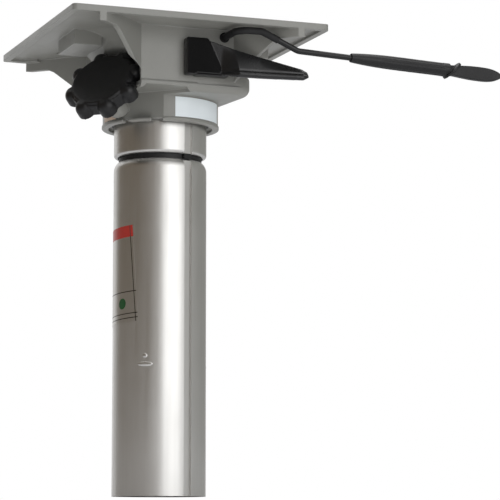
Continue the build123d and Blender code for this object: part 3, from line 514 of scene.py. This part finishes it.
# Finishes
@dataclass(frozen=True)
class PaintedCasting:
    """Grey powder coat on cast aluminium."""

    colour: Colour = (0.245, 0.243, 0.222)
    shade: Colour = (0.195, 0.193, 0.175)
    bare: Colour = (0.42, 0.42, 0.40)
    cloud_share: float = 0.35
    fleck_share: float = 0.10
    bare_share: float = 0.55
    wear_width: float = 0.0009
    roughness: Pair = (0.38, 0.54)
    coat: float = 0.12
    coat_roughness: float = 0.3
    relief: float = 0.00012
    edge_radius: float = 0.0012

    def build(self, effects: Effects) -> Finish:
        """Make the material.

        Args:
            effects: shared effects.

        Returns:
            The finished material.
        """
        sheet = Sheet("cast_grey_paint")
        grain = sheet.effect(effects.cast_grain, Fine=0.6, Waves=1.2)
        wear = sheet.effect(effects.edge_wear, Width=self.wear_width, Breakup=0.5)
        marks = sheet.effect(effects.handling, Amount=Weathering.HANDLED.value)
        colour = sheet.tint(self.colour, self.shade, grain["Cloud"], self.cloud_share)
        colour = sheet.tint(colour, self.shade, grain["Speckle"], self.fleck_share)
        colour = sheet.tint(colour, self.bare, wear["Mask"], self.bare_share)
        sheet.feed("Base Color", colour)
        sheet.roughen(marks["Smudge"], *self.roughness)
        sheet.constant(coat_weight=self.coat, coat_roughness=self.coat_roughness)
        sheet.bump(grain["Height"], self.relief, rounding=self.edge_radius)
        return sheet.material


@dataclass(frozen=True)
class ExtrudedAluminium:
    """Anodised aluminium extrusion, with die lines along its length."""

    name: str = "anodised_extrusion"
    colour: Colour = (0.63, 0.625, 0.61)
    dark: Colour = (0.56, 0.55, 0.53)
    dark_share: float = 0.5
    roughness: Pair = (0.33, 0.41)
    smudge_rise: float = 0.3
    relief: float = 0.00001

    def build(self, effects: Effects) -> Finish:
        """Make the material.

        Args:
            effects: shared effects.

        Returns:
            The finished material.
        """
        sheet = Sheet(self.name)
        tree = sheet.tree
        lines = sheet.effect(effects.draw_lines, Amount=1.0)
        marks = sheet.effect(effects.handling, Amount=Weathering.NEW.value)
        colour = sheet.tint(self.colour, self.dark, lines["Streak"], self.dark_share)
        sheet.feed("Base Color", colour)
        streaks = remap(tree, lines["Streak"], 0.0, 1.0, *self.roughness)
        smudges = calculate(tree, "MULTIPLY", marks["Smudge"], self.smudge_rise)
        sheet.feed("Roughness", calculate(tree, "ADD", streaks, smudges))
        sheet.constant(metallic=1.0)
        sheet.bump(lines["Height"], self.relief)
        return sheet.material


@dataclass(frozen=True)
class MouldedBlack:
    """Black moulded plastic, rubber or enamel."""

    name: str
    colour: Colour = (0.008, 0.008, 0.0085)
    grey: Colour = (0.03, 0.03, 0.03)
    edge_share: float = 0.4
    dust_share: float = 0.5
    wear_width: float = 0.0006
    roughness: float = 0.35
    smudge_rise: float = 0.15
    smudge_full: float = 0.6
    texture: float = 0.00003
    gloss: float = 0.35

    def build(self, effects: Effects) -> Finish:
        """Make the material.

        Args:
            effects: shared effects.

        Returns:
            The finished material.
        """
        sheet = Sheet(self.name)
        marks = sheet.effect(effects.handling, Amount=Weathering.HANDLED.value)
        wear = sheet.effect(effects.edge_wear, Width=self.wear_width, Breakup=0.4)
        grain = sheet.effect(effects.cast_grain, Fine=1.0, Waves=0.4)
        colour = sheet.tint(self.colour, self.grey, wear["Mask"], self.edge_share)
        colour = sheet.tint(colour, self.grey, marks["Dust"], self.dust_share)
        sheet.feed("Base Color", colour)
        rough = self.roughness + self.smudge_rise
        sheet.roughen(marks["Smudge"], self.roughness, rough, self.smudge_full)
        sheet.constant(specular_ior_level=self.gloss)
        sheet.bump(grain["Height"], self.texture)
        return sheet.material


@dataclass(frozen=True)
class PlainSurface:
    """Plain machined or plated metal."""

    name: str
    colour: Colour
    roughness: float = 0.28
    metallic: float = 1.0
    waves: float = 0.2
    shade: float = 0.75
    handled: Weathering = Weathering.HANDLED
    smudge_rise: float = 0.2
    smudge_full: float = 0.5
    relief: float = 0.00002

    def build(self, effects: Effects) -> Finish:
        """Make the material.

        Args:
            effects: shared effects.

        Returns:
            The finished material.
        """
        sheet = Sheet(self.name)
        grain = sheet.effect(effects.cast_grain, Fine=1.0, Waves=self.waves)
        marks = sheet.effect(effects.handling, Amount=self.handled.value)
        darker = tuple(value * self.shade for value in self.colour)
        sheet.feed("Base Color", blend_colour(sheet.tree, grain["Cloud"], self.colour, darker))
        rough = self.roughness + self.smudge_rise
        sheet.roughen(marks["Smudge"], self.roughness, rough, self.smudge_full)
        sheet.constant(metallic=self.metallic)
        sheet.bump(grain["Height"], self.relief)
        return sheet.material


@dataclass(frozen=True)
class BlankFilm(PlainSurface):
    """Plain label film with nothing printed on it."""

    roughness: float = 0.45
    metallic: float = 0.0
    waves: float = 0.6
    shade: float = 0.9
    handled: Weathering = Weathering.NEW
    smudge_rise: float = 0.1


@dataclass(frozen=True)
class TubeLabelFilm:
    """Wrap label in plain colour fields: a band, a thin frame and a dot.

    Its marks are placed by the length round the column from the front, and by height.
    """

    paper: Colour = (0.60, 0.59, 0.57)
    band: Colour = (0.42, 0.03, 0.02)
    ink: Colour = (0.03, 0.03, 0.03)
    dot: Colour = (0.01, 0.075, 0.02)
    radius: float = 0.0365
    lean: float = 0.061
    lean_from: float = 0.0639
    band_foot: float = 0.198
    top: float = 0.208
    side_lean: float = 0.0818
    frame_side: float = -0.0368
    line: float = 0.00032
    levels: Tuple[float, ...] = (0.1555, 0.1385, 0.1350)
    dot_across: float = -0.0448
    dot_height: float = 0.1466
    dot_radius: float = 0.0042
    roughness: float = 0.35
    relief: float = 0.00002

    def build(self, effects: Effects) -> Finish:
        """Make the material.

        Args:
            effects: shared effects.

        Returns:
            The finished material.
        """
        sheet = Sheet("tube_label_film")
        tree = sheet.tree
        grain = sheet.effect(effects.cast_grain, Fine=1.0, Waves=0.5)
        split = add_node(tree, "ShaderNodeSeparateXYZ")
        tree.links.new(sheet.place, split.inputs[0])
        front = calculate(tree, "MULTIPLY", split.outputs[1], -1.0)
        angle = calculate(tree, "ARCTAN2", split.outputs[0], front)
        across = calculate(tree, "MULTIPLY", angle, self.radius)
        lean = calculate(tree, "ADD", across, self.lean_from)
        lean = calculate(tree, "MULTIPLY", lean, -self.lean)
        height = calculate(tree, "ADD", split.outputs[2], lean)
        below = calculate(tree, "SUBTRACT", split.outputs[2], self.top)
        slant = calculate(tree, "MULTIPLY", below, self.side_lean)
        side = calculate(tree, "ADD", across, slant)
        lines = [near(tree, side, self.frame_side, self.line)]
        lines += [near(tree, height, level, self.line) for level in self.levels]
        band = calculate(tree, "GREATER_THAN", height, self.band_foot)
        dot = self.dot_mask(tree, across, height)
        colour = blend_colour(tree, band, self.paper, self.band)
        for line in lines:
            colour = blend_colour(tree, line, colour, self.ink)
        colour = blend_colour(tree, dot, colour, self.dot)
        printed = calculate(tree, "MAXIMUM", band, dot)
        sheet.feed("Metallic", remap(tree, printed, 0.0, 1.0, 1.0, 0.0))
        sheet.feed("Base Color", colour)
        sheet.constant(roughness=self.roughness)
        sheet.bump(grain["Height"], self.relief)
        return sheet.material

    def dot_mask(self, tree: Tree, across: Socket, height: Socket) -> Socket:
        """Mask of the round dot.

        Args:
            tree: node tree that the nodes join.
            across: length round the column.
            height: height on the leaning label.

        Returns:
            The mask's socket.
        """
        squares = []
        for value, centre in ((across, self.dot_across), (height, self.dot_height)):
            away = calculate(tree, "SUBTRACT", value, centre)
            squares.append(calculate(tree, "MULTIPLY", away, away))
        reach = calculate(tree, "ADD", *squares)
        return calculate(tree, "LESS_THAN", reach, self.dot_radius ** 2)


# Pieces
@dataclass
class CastHead:
    """The head's casting with its fins drawn to their real thickness, clear of the knob.

    A fin span says where a slab starts and ends along the fin, and its top.
    """

    corner: Pair = (0.0375, 0.065)
    fin_end: Pair = (0.0764, 0.102)
    fin_thickness: float = 0.0038
    fin_blank: float = 0.0105
    fin_foot: float = 0.3246
    fin_spans: Tuple[Point, ...] = ((0.0, 0.0452, 0.35785), (0.0448, 0.066, 0.3556))
    apron_low: Point = (-0.0374, -0.0659, 0.3118)
    apron_high: Point = (0.008, -0.044, 0.3152)
    apron_round: float = 0.0008
    apron_steps: int = 3
    knob_centre: Point = (-0.0590, -0.0345, 0.3145)
    knob_view: Point = (0.35381, 0.92730, 0.12218)
    clear_size: Pair = (0.0335, 0.0275)
    clear_depth: float = 0.08
    clear_gap: float = 0.0001
    clear_facets: int = 96

    def build(self, material: Finish) -> None:
        """Make the casting.

        Args:
            material: its paint.
        """
        piece = closed_copy("head_casting", "cast_head")
        for side in (-1.0, 1.0):
            for end in (-1.0, 1.0):
                for span in self.fin_spans:
                    combine(piece, self.fin_tool(side, end, span), "DIFFERENCE")
        combine(piece, self.knob_tool(), "DIFFERENCE")
        combine(piece, self.apron(), "UNION")
        soften_faces(piece)
        wear_material(piece, material)
        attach(piece, "head")
        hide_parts("head_casting")

    def apron(self) -> Piece:
        """Closing plate under the front left of the body, with soft edges.

        Returns:
            The plate.
        """
        low, high = Vector(self.apron_low), Vector(self.apron_high)
        bpy.ops.object.select_all(action="DESELECT")
        bpy.ops.mesh.primitive_cube_add(size=1.0, location=(low + high) / 2)
        plate = settle(high - low)
        with edit_mode():
            bpy.ops.mesh.select_all(action="SELECT")
            bpy.ops.mesh.bevel(
                offset=self.apron_round, segments=self.apron_steps, affect="EDGES"
            )
        return plate

    def fin_tool(self, side: float, end: float, span: Point) -> Piece:
        """Slab behind one fin, which draws the fin down to its thickness.

        Args:
            side: -1 for the left fins and 1 for the right ones.
            end: -1 for the front fins and 1 for the back ones.
            span: where the slab starts and ends along the fin, and its top.

        Returns:
            The slab.
        """
        start = Vector((side * self.corner[0], end * self.corner[1], 0.0))
        run = Vector((side * self.fin_end[0], end * self.fin_end[1], 0.0)) - start
        run.normalize()
        back = Vector((side * abs(run.y), -end * abs(run.x), 0.0))
        first, last, top = span
        wide = self.fin_blank - self.fin_thickness
        middle = start + run * ((first + last) / 2) + back * (self.fin_thickness + wide / 2)
        middle.z = (self.fin_foot + top) / 2
        bpy.ops.object.select_all(action="DESELECT")
        turn = (0.0, 0.0, math.atan2(run.y, run.x))
        bpy.ops.mesh.primitive_cube_add(size=1.0, location=middle, rotation=turn)
        return settle((last - first, wide, top - self.fin_foot))

    def knob_tool(self) -> Piece:
        """Oval scoop in front of the knob, outside the flat-fronted body.

        Returns:
            The scoop.
        """
        towards = -Vector(self.knob_view).normalized()
        middle = Vector(self.knob_centre) + towards * (self.clear_depth / 2)
        bpy.ops.object.select_all(action="DESELECT")
        bpy.ops.mesh.primitive_cylinder_add(
            vertices=self.clear_facets,
            radius=1.0,
            depth=1.0,
            location=middle,
            rotation=towards.to_track_quat("Z", "Y").to_euler(),
        )
        scoop = settle((*self.clear_size, self.clear_depth))
        with edit_mode():
            bpy.ops.mesh.select_all(action="SELECT")
            bpy.ops.mesh.bisect(
                plane_co=(-self.corner[0] - self.clear_gap, 0.0, 0.0),
                plane_no=(1.0, 0.0, 0.0),
                use_fill=True,
                clear_outer=True,
            )
        return scoop


@dataclass
class Column:
    """The column's tube and smooth skin, the lips of its stakes and the wrap label.

    Angles are degrees round the column from the front.
    """

    radius: float = 0.0365
    foot_radius: float = 0.0361
    foot_length: float = 0.084
    slack: float = 0.0001
    facets: int = 360
    skin: float = 0.00005
    skin_thickness: float = 0.0003
    skin_angles: Pair = (24.2, 372.8)
    skin_heights: Pair = (0.00005, 0.2532)
    stake_height: float = 0.1006
    stake_angles: Tuple[float, ...] = (-36.0, 84.0, -156.0)
    lip_facets: Tuple[int, int] = (32, 18)
    lip_size: Point = (0.0062, 0.0010, 0.0021)
    lip_depth: float = 0.0360
    button_size: Point = (0.0022, 0.0010, 0.0020)
    button_rise: float = 0.0064
    label_angles: Pair = (-118.5, -30.0)
    label_heights: Pair = (0.133, 0.208)
    label_twist: float = 9.5
    label_lean: float = 3.5
    label_skin: float = 0.0001
    label_thickness: float = 0.00012
    label_spare: float = 0.004
    label_rows: int = 8

    def build(self, tube: Finish, film: Finish) -> None:
        """Make the tube, its lips and the label.

        Args:
            tube: finish of the extrusion.
            film: finish of the label.
        """
        self.make_tube(tube)
        self.make_skin(tube)
        self.make_stakes(tube)
        self.make_label(film)

    def make_tube(self, material: Finish) -> None:
        """Make the tube, as wide at its foot as above it.

        Args:
            material: finish of the extrusion.
        """
        piece = closed_copy("outer_tube", "column_tube")
        with edit_mode():
            bpy.ops.mesh.select_all(action="DESELECT")
        top = self.foot_length + self.slack
        for vertex in piece.data.vertices:
            out = math.hypot(vertex.co.x, vertex.co.y)
            vertex.select = abs(out - self.foot_radius) < self.slack and vertex.co.z < top
        grow = self.radius / self.foot_radius
        with edit_mode():
            bpy.ops.transform.resize(value=(grow, grow, 1.0), center_override=(0.0, 0.0, 0.0))
        soften_faces(piece)
        wear_material(piece, material)
        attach(piece, "column")
        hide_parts("outer_tube")

    def make_skin(self, material: Finish) -> None:
        """Make the smooth skin of the tube, from one side of its groove round to the other.

        Args:
            material: finish of the extrusion.
        """
        radius = self.radius + self.skin
        piece = self.make_shell("column_skin", radius, self.skin_angles, self.skin_heights)
        apply_modifier(piece, "SOLIDIFY", thickness=self.skin_thickness, offset=-1.0)
        soften_faces(piece)
        wear_material(piece, material)
        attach(piece, "column")

    def make_stakes(self, material: Finish) -> None:
        """Model a stake's lip and button once, and copy them to every stake.

        Args:
            material: finish of the extrusion.
        """
        patterns = {
            "stake_lip_%d": self.lip_pattern(self.lip_size, 0.0),
            "stake_button_%d": self.lip_pattern(self.button_size, self.button_rise),
        }
        for index, angle in enumerate(self.stake_angles):
            for name, pattern in patterns.items():
                piece = bpy.data.objects.new(name % index, pattern.data.copy())
                bpy.context.scene.collection.objects.link(piece)
                piece.rotation_euler.z = math.radians(angle)
                select_only(piece)
                bpy.ops.object.transform_apply(location=True, rotation=True, scale=True)
                wear_material(piece, material)
                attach(piece, "column")
        for pattern in patterns.values():
            bpy.data.objects.remove(pattern, do_unlink=True)

    def lip_pattern(self, size: Point, rise: float) -> Piece:
        """Model one raised lip at the front of the column.

        Args:
            size: half sizes across, in and up.
            rise: height over the middle of the stake.

        Returns:
            The lip.
        """
        segments, rings = self.lip_facets
        bpy.ops.object.select_all(action="DESELECT")
        bpy.ops.mesh.primitive_uv_sphere_add(
            segments=segments,
            ring_count=rings,
            radius=1.0,
            location=(0.0, -self.lip_depth, self.stake_height + rise),
        )
        lip = settle(size)
        bpy.ops.object.shade_smooth()
        return lip

    def make_shell(self, name: str, radius: float, angles: Pair, heights: Pair) -> Piece:
        """Make a piece of the skin round the column.

        Args:
            name: name of the piece.
            radius: radius of the skin.
            angles: its first and last angles.
            heights: its lower and upper edges.

        Returns:
            The open skin.
        """
        low, high = heights
        first, last = angles
        bpy.ops.object.select_all(action="DESELECT")
        bpy.ops.mesh.primitive_cylinder_add(
            vertices=self.facets,
            radius=radius,
            depth=high - low,
            end_fill_type="NOTHING",
            location=(0.0, 0.0, (low + high) / 2),
        )
        piece = settle((1.0, 1.0, 1.0))
        piece.name = name
        with edit_mode():
            bpy.ops.mesh.select_mode(type="FACE")
            bpy.ops.mesh.select_all(action="DESELECT")
        for face in piece.data.polygons:
            angle = math.degrees(math.atan2(face.center.x, -face.center.y))
            face.select = (angle - first) % 360.0 > last - first
        with edit_mode():
            bpy.ops.mesh.delete(type="FACE")
            bpy.ops.mesh.select_mode(type="VERT")
        return piece

    def make_label(self, material: Finish) -> None:
        """Make the wrap label, put on a little askew.

        Args:
            material: finish of the label.
        """
        low, high = self.label_heights
        first, last = self.label_angles
        reach = (low - self.label_spare, high + self.label_spare)
        radius = self.radius + self.label_skin
        piece = self.make_shell("column_label", radius, self.label_angles, reach)
        with edit_mode():
            for step in range(1, self.label_rows):
                bpy.ops.mesh.select_all(action="SELECT")
                level = low + (high - low) * step / self.label_rows
                bpy.ops.mesh.bisect(plane_co=(0.0, 0.0, level), plane_no=UPWARDS)
        twist = math.radians(-self.label_twist)
        apply_modifier(
            piece, "SIMPLE_DEFORM", deform_method="TWIST", angle=twist, deform_axis="Z"
        )
        middle = math.radians((first + last) / 2)
        lean = math.radians(self.label_lean)
        aside = Vector((math.cos(middle), math.sin(middle), 0.0))
        up = Vector(UPWARDS) * math.cos(lean) - aside * math.sin(lean)
        out = Vector((math.sin(middle), -math.cos(middle), 0.0)) * self.radius
        with edit_mode():
            for level, above in ((low, False), (high, True)):
                bpy.ops.mesh.select_all(action="SELECT")
                edge = out + Vector((0.0, 0.0, level))
                bpy.ops.mesh.bisect(
                    plane_co=edge, plane_no=up, clear_outer=above, clear_inner=not above
                )
        apply_modifier(piece, "SOLIDIFY", thickness=self.label_thickness, offset=1.0)
        soften_faces(piece)
        wear_material(piece, material)
        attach(piece, "column")
        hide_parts("tube_label")


@dataclass
class Moulding:
    """A moulded piece, remade from its node with the soft edges of a mould."""

    node: str
    name: str
    body: str
    slot: str
    grain: float
    rounds: int

    def build(self, material: Finish) -> Piece:
        """Make the piece.

        Args:
            material: its plastic or rubber.

        Returns:
            The finished piece.
        """
        piece = closed_copy(self.node, self.name)
        apply_modifier(piece, "REMESH", mode="VOXEL", voxel_size=self.grain)
        apply_modifier(piece, "SMOOTH", factor=0.5, iterations=self.rounds)
        select_only(piece)
        bpy.ops.object.shade_smooth()
        wear_material(piece, material)
        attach(piece, self.body)
        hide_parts(self.node)
        return piece


KNOB = Moulding("knob", "knob_moulding", "knob", "knob_plastic", 0.0006, 8)
PADDLE = Moulding("paddle", "paddle_moulding", "paddle", "paddle_plastic", 0.0005, 14)
GRIP = Moulding("lever_grip", "grip_moulding", "lever", "grip_rubber", 0.0004, 3)


@dataclass
class Wardrobe:
    """Every finish of the pedestal, and the CAD nodes and new pieces that wear it."""

    effects: Effects = field(default_factory=Effects)
    hub_edge: float = 0.0244
    hub_facing: float = -0.97

    def dress(self) -> None:
        """Make every finish, put it on its nodes and make the new pieces."""
        effects = self.effects
        casting = PaintedCasting().build(effects)
        tube = ExtrudedAluminium().build(effects)
        film = TubeLabelFilm().build(effects)
        knob = MouldedBlack("knob_black", roughness=0.34).build(effects)
        paddle = MouldedBlack(
            "paddle_gloss", roughness=0.27, texture=0.00001, gloss=0.5
        ).build(effects)
        # Painted shade: the front faces of the paddle's hub wear a darker, nearly matte copy of
        # the paddle plastic, so they stay near black under the key softbox.
        shaded_hub = MouldedBlack(
            "paddle_hub_painted_shade", colour=(0.006, 0.006, 0.006), roughness=0.55, gloss=0.05
        ).build(effects)
        grip = MouldedBlack("grip_rubber", roughness=0.42).build(effects)
        self.dress_nodes({"head_casting": casting, "outer_tube": tube, "top_sleeve": tube})
        self.dress_nodes({"tube_label": film, "knob": knob, "paddle": paddle, "lever_grip": grip})
        self.dress_nodes(self.plain_finishes())
        CastHead().build(casting)
        Column().build(tube, film)
        KNOB.build(knob)
        wing = PADDLE.build(paddle)
        # The painted shade copy goes on as a second material, worn by the hub's faces that face
        # the front.
        wing.data.materials.append(shaded_hub)
        for face in wing.data.polygons:
            on_hub = face.normal.y < self.hub_facing and face.center.x < self.hub_edge
            face.material_index = int(on_hub)
        GRIP.build(grip)

    def plain_finishes(self) -> Dict[str, Finish]:
        """Make the finishes that only CAD nodes wear.

        Returns:
            The finish of each node.
        """
        nodes = {
            ExtrudedAluminium("inner_tube"): ("slide_tube",),
            MouldedBlack("bushing_black", roughness=0.5): (
                "top_bushing",
                "lower_bushing",
                "sleeve_adapter",
                "thrust_washer",
                "swivel_bushing",
            ),
            MouldedBlack("soft_black", roughness=0.62, texture=0.00005): (
                "bump_stop",
                "rod_grommet",
                "lever_sleeve",
            ),
            MouldedBlack("lever_enamel", roughness=0.25, texture=0.00001): (
                "gas_cylinder",
                "lever_rod",
            ),
            PlainSurface("turned_aluminium", (0.62, 0.62, 0.6)): ("seat_plug", "post_cap"),
            PlainSurface("ground_steel", (0.6, 0.6, 0.6), 0.22): (
                "piston_rod",
                "valve_pin",
                "lock_pin",
                "paddle_shaft",
            ),
            PlainSurface("zinc_plate", (0.5, 0.5, 0.48), 0.34): (
                "rod_washer",
                "rod_nut",
                "lock_ring",
                "cylinder_nut",
                "lock_crank",
                "shaft_clip",
                "knob_stud",
            ),
            PlainSurface("shoe_brass", (0.65, 0.47, 0.2), 0.3): ("friction_shoe",),
            BlankFilm("collar_label_film", (0.86, 0.92, 0.94)): ("collar_label",),
            BlankFilm("side_label_film", (0.60, 0.46, 0.35)): ("side_label",),
        }
        wears = {}
        for finish, names in nodes.items():
            wears.update(dict.fromkeys(names, finish.build(self.effects)))
        return wears

    @staticmethod
    def dress_nodes(wears: Dict[str, Finish]) -> None:
        """Put each node's finish on every slot of it.

        Args:
            wears: the finish of each node.
        """
        for name, material in wears.items():
            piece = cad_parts[name]
            if not piece.material_slots:
                piece.data.materials.append(material)
            for slot in piece.material_slots:
                slot.material = material
            log.info("dressed %s in %s", piece.name, material.name)


# Studio
@dataclass(frozen=True)
class Lamp:
    """Rectangular lamp: where it hangs, what it points at, its size and its watts."""

    name: str
    place: Point
    target: Point
    size: Pair
    power: float
    glossy: bool = True

    def build(self) -> None:
        """Hang the lamp."""
        data = bpy.data.lights.new(self.name, "AREA")
        data.shape = "RECTANGLE"
        data.size, data.size_y = self.size
        data.energy = self.power
        lamp = bpy.data.objects.new(self.name, data)
        lamp.location = self.place
        lamp.visible_glossy = self.glossy
        lamp.rotation_mode = "QUATERNION"
        aim = Vector(self.target) - Vector(self.place)
        lamp.rotation_quaternion = aim.to_track_quat("-Z", "Y")
        bpy.context.scene.collection.objects.link(lamp)


@dataclass(frozen=True)
class Card:
    """Plain card beside the object, for the metal to reflect.

    Its turn is in degrees round Z from facing the front.
    """

    name: str
    place: Point
    size: Pair
    turn: float
    glow: Colour

    def build(self) -> None:
        """Stand the card in its place."""
        bpy.ops.object.select_all(action="DESELECT")
        rotation = (math.radians(90.0), 0.0, math.radians(self.turn))
        bpy.ops.mesh.primitive_plane_add(size=1.0, location=self.place, rotation=rotation)
        card = bpy.context.object
        card.name = self.name
        card.scale = (*self.size, 1.0)
        bpy.ops.object.transform_apply(location=False, rotation=False, scale=True)
        card.visible_camera = False
        card.visible_diffuse = False
        card.visible_shadow = False
        material = bpy.data.materials.new(self.name)
        tree = blank_tree(material)
        shine = add_node(tree, "ShaderNodeEmission")
        shine.inputs["Color"].default_value = rgba(self.glow)
        output = add_node(tree, "ShaderNodeOutputMaterial")
        tree.links.new(shine.outputs[0], output.inputs[0])
        card.data.materials.append(material)


@dataclass
class Studio:
    """Camera, floor, lamps and cards."""

    camera_place: Point = (-0.56745, -1.68635, -0.02603)
    looking: Point = (0.35381, 0.92730, 0.12218)
    lens: float = 164.028
    sensor: float = 36.0
    clip: Pair = (0.05, 50.0)
    floor_reach: float = 6.0
    floor_height: float = -0.0004
    floor_colour: Colour = (0.86, 0.86, 0.86)
    floor_glow: float = 0.6
    backdrop: Colour = (1.0, 1.0, 1.0)
    light: Colour = (0.95, 0.96, 1.0)
    light_strength: float = 0.4
    lamps: Tuple[Lamp, ...] = (
        Lamp("key_softbox", (0.46, -1.75, 0.42), (0.0, 0.0, 0.25), (1.5, 1.15), 8.2),
        Lamp("low_fill", (-0.2, -1.2, -0.85), (0.0, -0.02, 0.33), (1.3, 0.9), 8.0),
        Lamp("top_light", (0.1, -0.2, 2.0), (0.0, 0.0, 0.3), (1.6, 1.6), 15.0),
        Lamp("rear_fill", (-0.5, 2.0, 0.9), (0.0, 0.0, 0.25), (1.6, 1.2), 9.0, glossy=False),
    )
    cards: Tuple[Card, ...] = (
        Card("left_card", (-1.18, 0.52, 0.2), (5.5, 2.8), 104.0, (0.17, 0.14, 0.106)),
        Card("right_card", (1.25, 0.0, 0.2), (2.8, 2.8), -84.0, (0.32, 0.32, 0.30)),
    )

    def build(self) -> None:
        """Set up the camera, floor, world, lamps and cards."""
        self.add_camera()
        self.add_floor()
        self.add_world()
        for light in (*self.lamps, *self.cards):
            light.build()
        bpy.context.scene.view_settings.view_transform = "Standard"

    def add_camera(self) -> None:
        """Put the camera where the view's fit says."""
        data = bpy.data.cameras.new("camera")
        data.lens = self.lens
        data.sensor_width = self.sensor
        data.clip_start, data.clip_end = self.clip
        camera = bpy.data.objects.new("camera", data)
        camera.location = self.camera_place
        camera.rotation_mode = "QUATERNION"
        camera.rotation_quaternion = Vector(self.looking).to_track_quat("-Z", "Y")
        bpy.context.scene.collection.objects.link(camera)
        bpy.context.scene.camera = camera

    def add_floor(self) -> None:
        """Lay a pale floor that keeps the object's shadow and is clear from below."""
        bpy.ops.object.select_all(action="DESELECT")
        place = (0.0, 0.0, self.floor_height)
        bpy.ops.mesh.primitive_plane_add(size=2 * self.floor_reach, location=place)
        floor = bpy.context.object
        floor.name = "floor"
        floor.visible_shadow = False
        material = bpy.data.materials.new("pale_floor")
        tree = blank_tree(material)
        output = add_node(tree, "ShaderNodeOutputMaterial")
        solid = add_node(tree, "ShaderNodeBsdfDiffuse")
        solid.inputs["Color"].default_value = rgba(self.floor_colour)
        glow = add_node(tree, "ShaderNodeEmission")
        path = add_node(tree, "ShaderNodeLightPath")
        share = remap(tree, path.outputs["Is Camera Ray"], 0.0, 1.0, 0.0, self.floor_glow)
        above = add_node(tree, "ShaderNodeMixShader")
        tree.links.new(share, above.inputs[0])
        tree.links.new(solid.outputs[0], above.inputs[1])
        tree.links.new(glow.outputs[0], above.inputs[2])
        clear = add_node(tree, "ShaderNodeBsdfTransparent")
        geometry = add_node(tree, "ShaderNodeNewGeometry")
        side = add_node(tree, "ShaderNodeMixShader")
        tree.links.new(geometry.outputs["Backfacing"], side.inputs[0])
        tree.links.new(above.outputs[0], side.inputs[1])
        tree.links.new(clear.outputs[0], side.inputs[2])
        tree.links.new(side.outputs[0], output.inputs[0])
        floor.data.materials.append(material)

    def add_world(self) -> None:
        """Make the world white where it is seen, and a plain level where it lights."""
        world = bpy.data.worlds.new("studio")
        bpy.context.scene.world = world
        tree = blank_tree(world)
        output = add_node(tree, "ShaderNodeOutputWorld")
        seen = add_node(tree, "ShaderNodeBackground")
        seen.inputs["Color"].default_value = rgba(self.backdrop)
        lit = add_node(tree, "ShaderNodeBackground")
        lit.inputs["Color"].default_value = rgba(self.light)
        lit.inputs["Strength"].default_value = self.light_strength
        path = add_node(tree, "ShaderNodeLightPath").outputs
        in_view = calculate(tree, "MAXIMUM", path["Is Camera Ray"], path["Is Glossy Ray"])
        in_view = calculate(tree, "MAXIMUM", in_view, path["Is Transmission Ray"])
        mix = add_node(tree, "ShaderNodeMixShader")
        tree.links.new(in_view, mix.inputs[0])
        tree.links.new(lit.outputs[0], mix.inputs[1])
        tree.links.new(seen.outputs[0], mix.inputs[2])
        tree.links.new(mix.outputs[0], output.inputs[0])


def main() -> None:
    """Build the studio, dress the model and add the new pieces."""
    logging.basicConfig(level=logging.INFO)
    Studio().build()
    Wardrobe().dress()


if __name__ == "__main__":
    main()
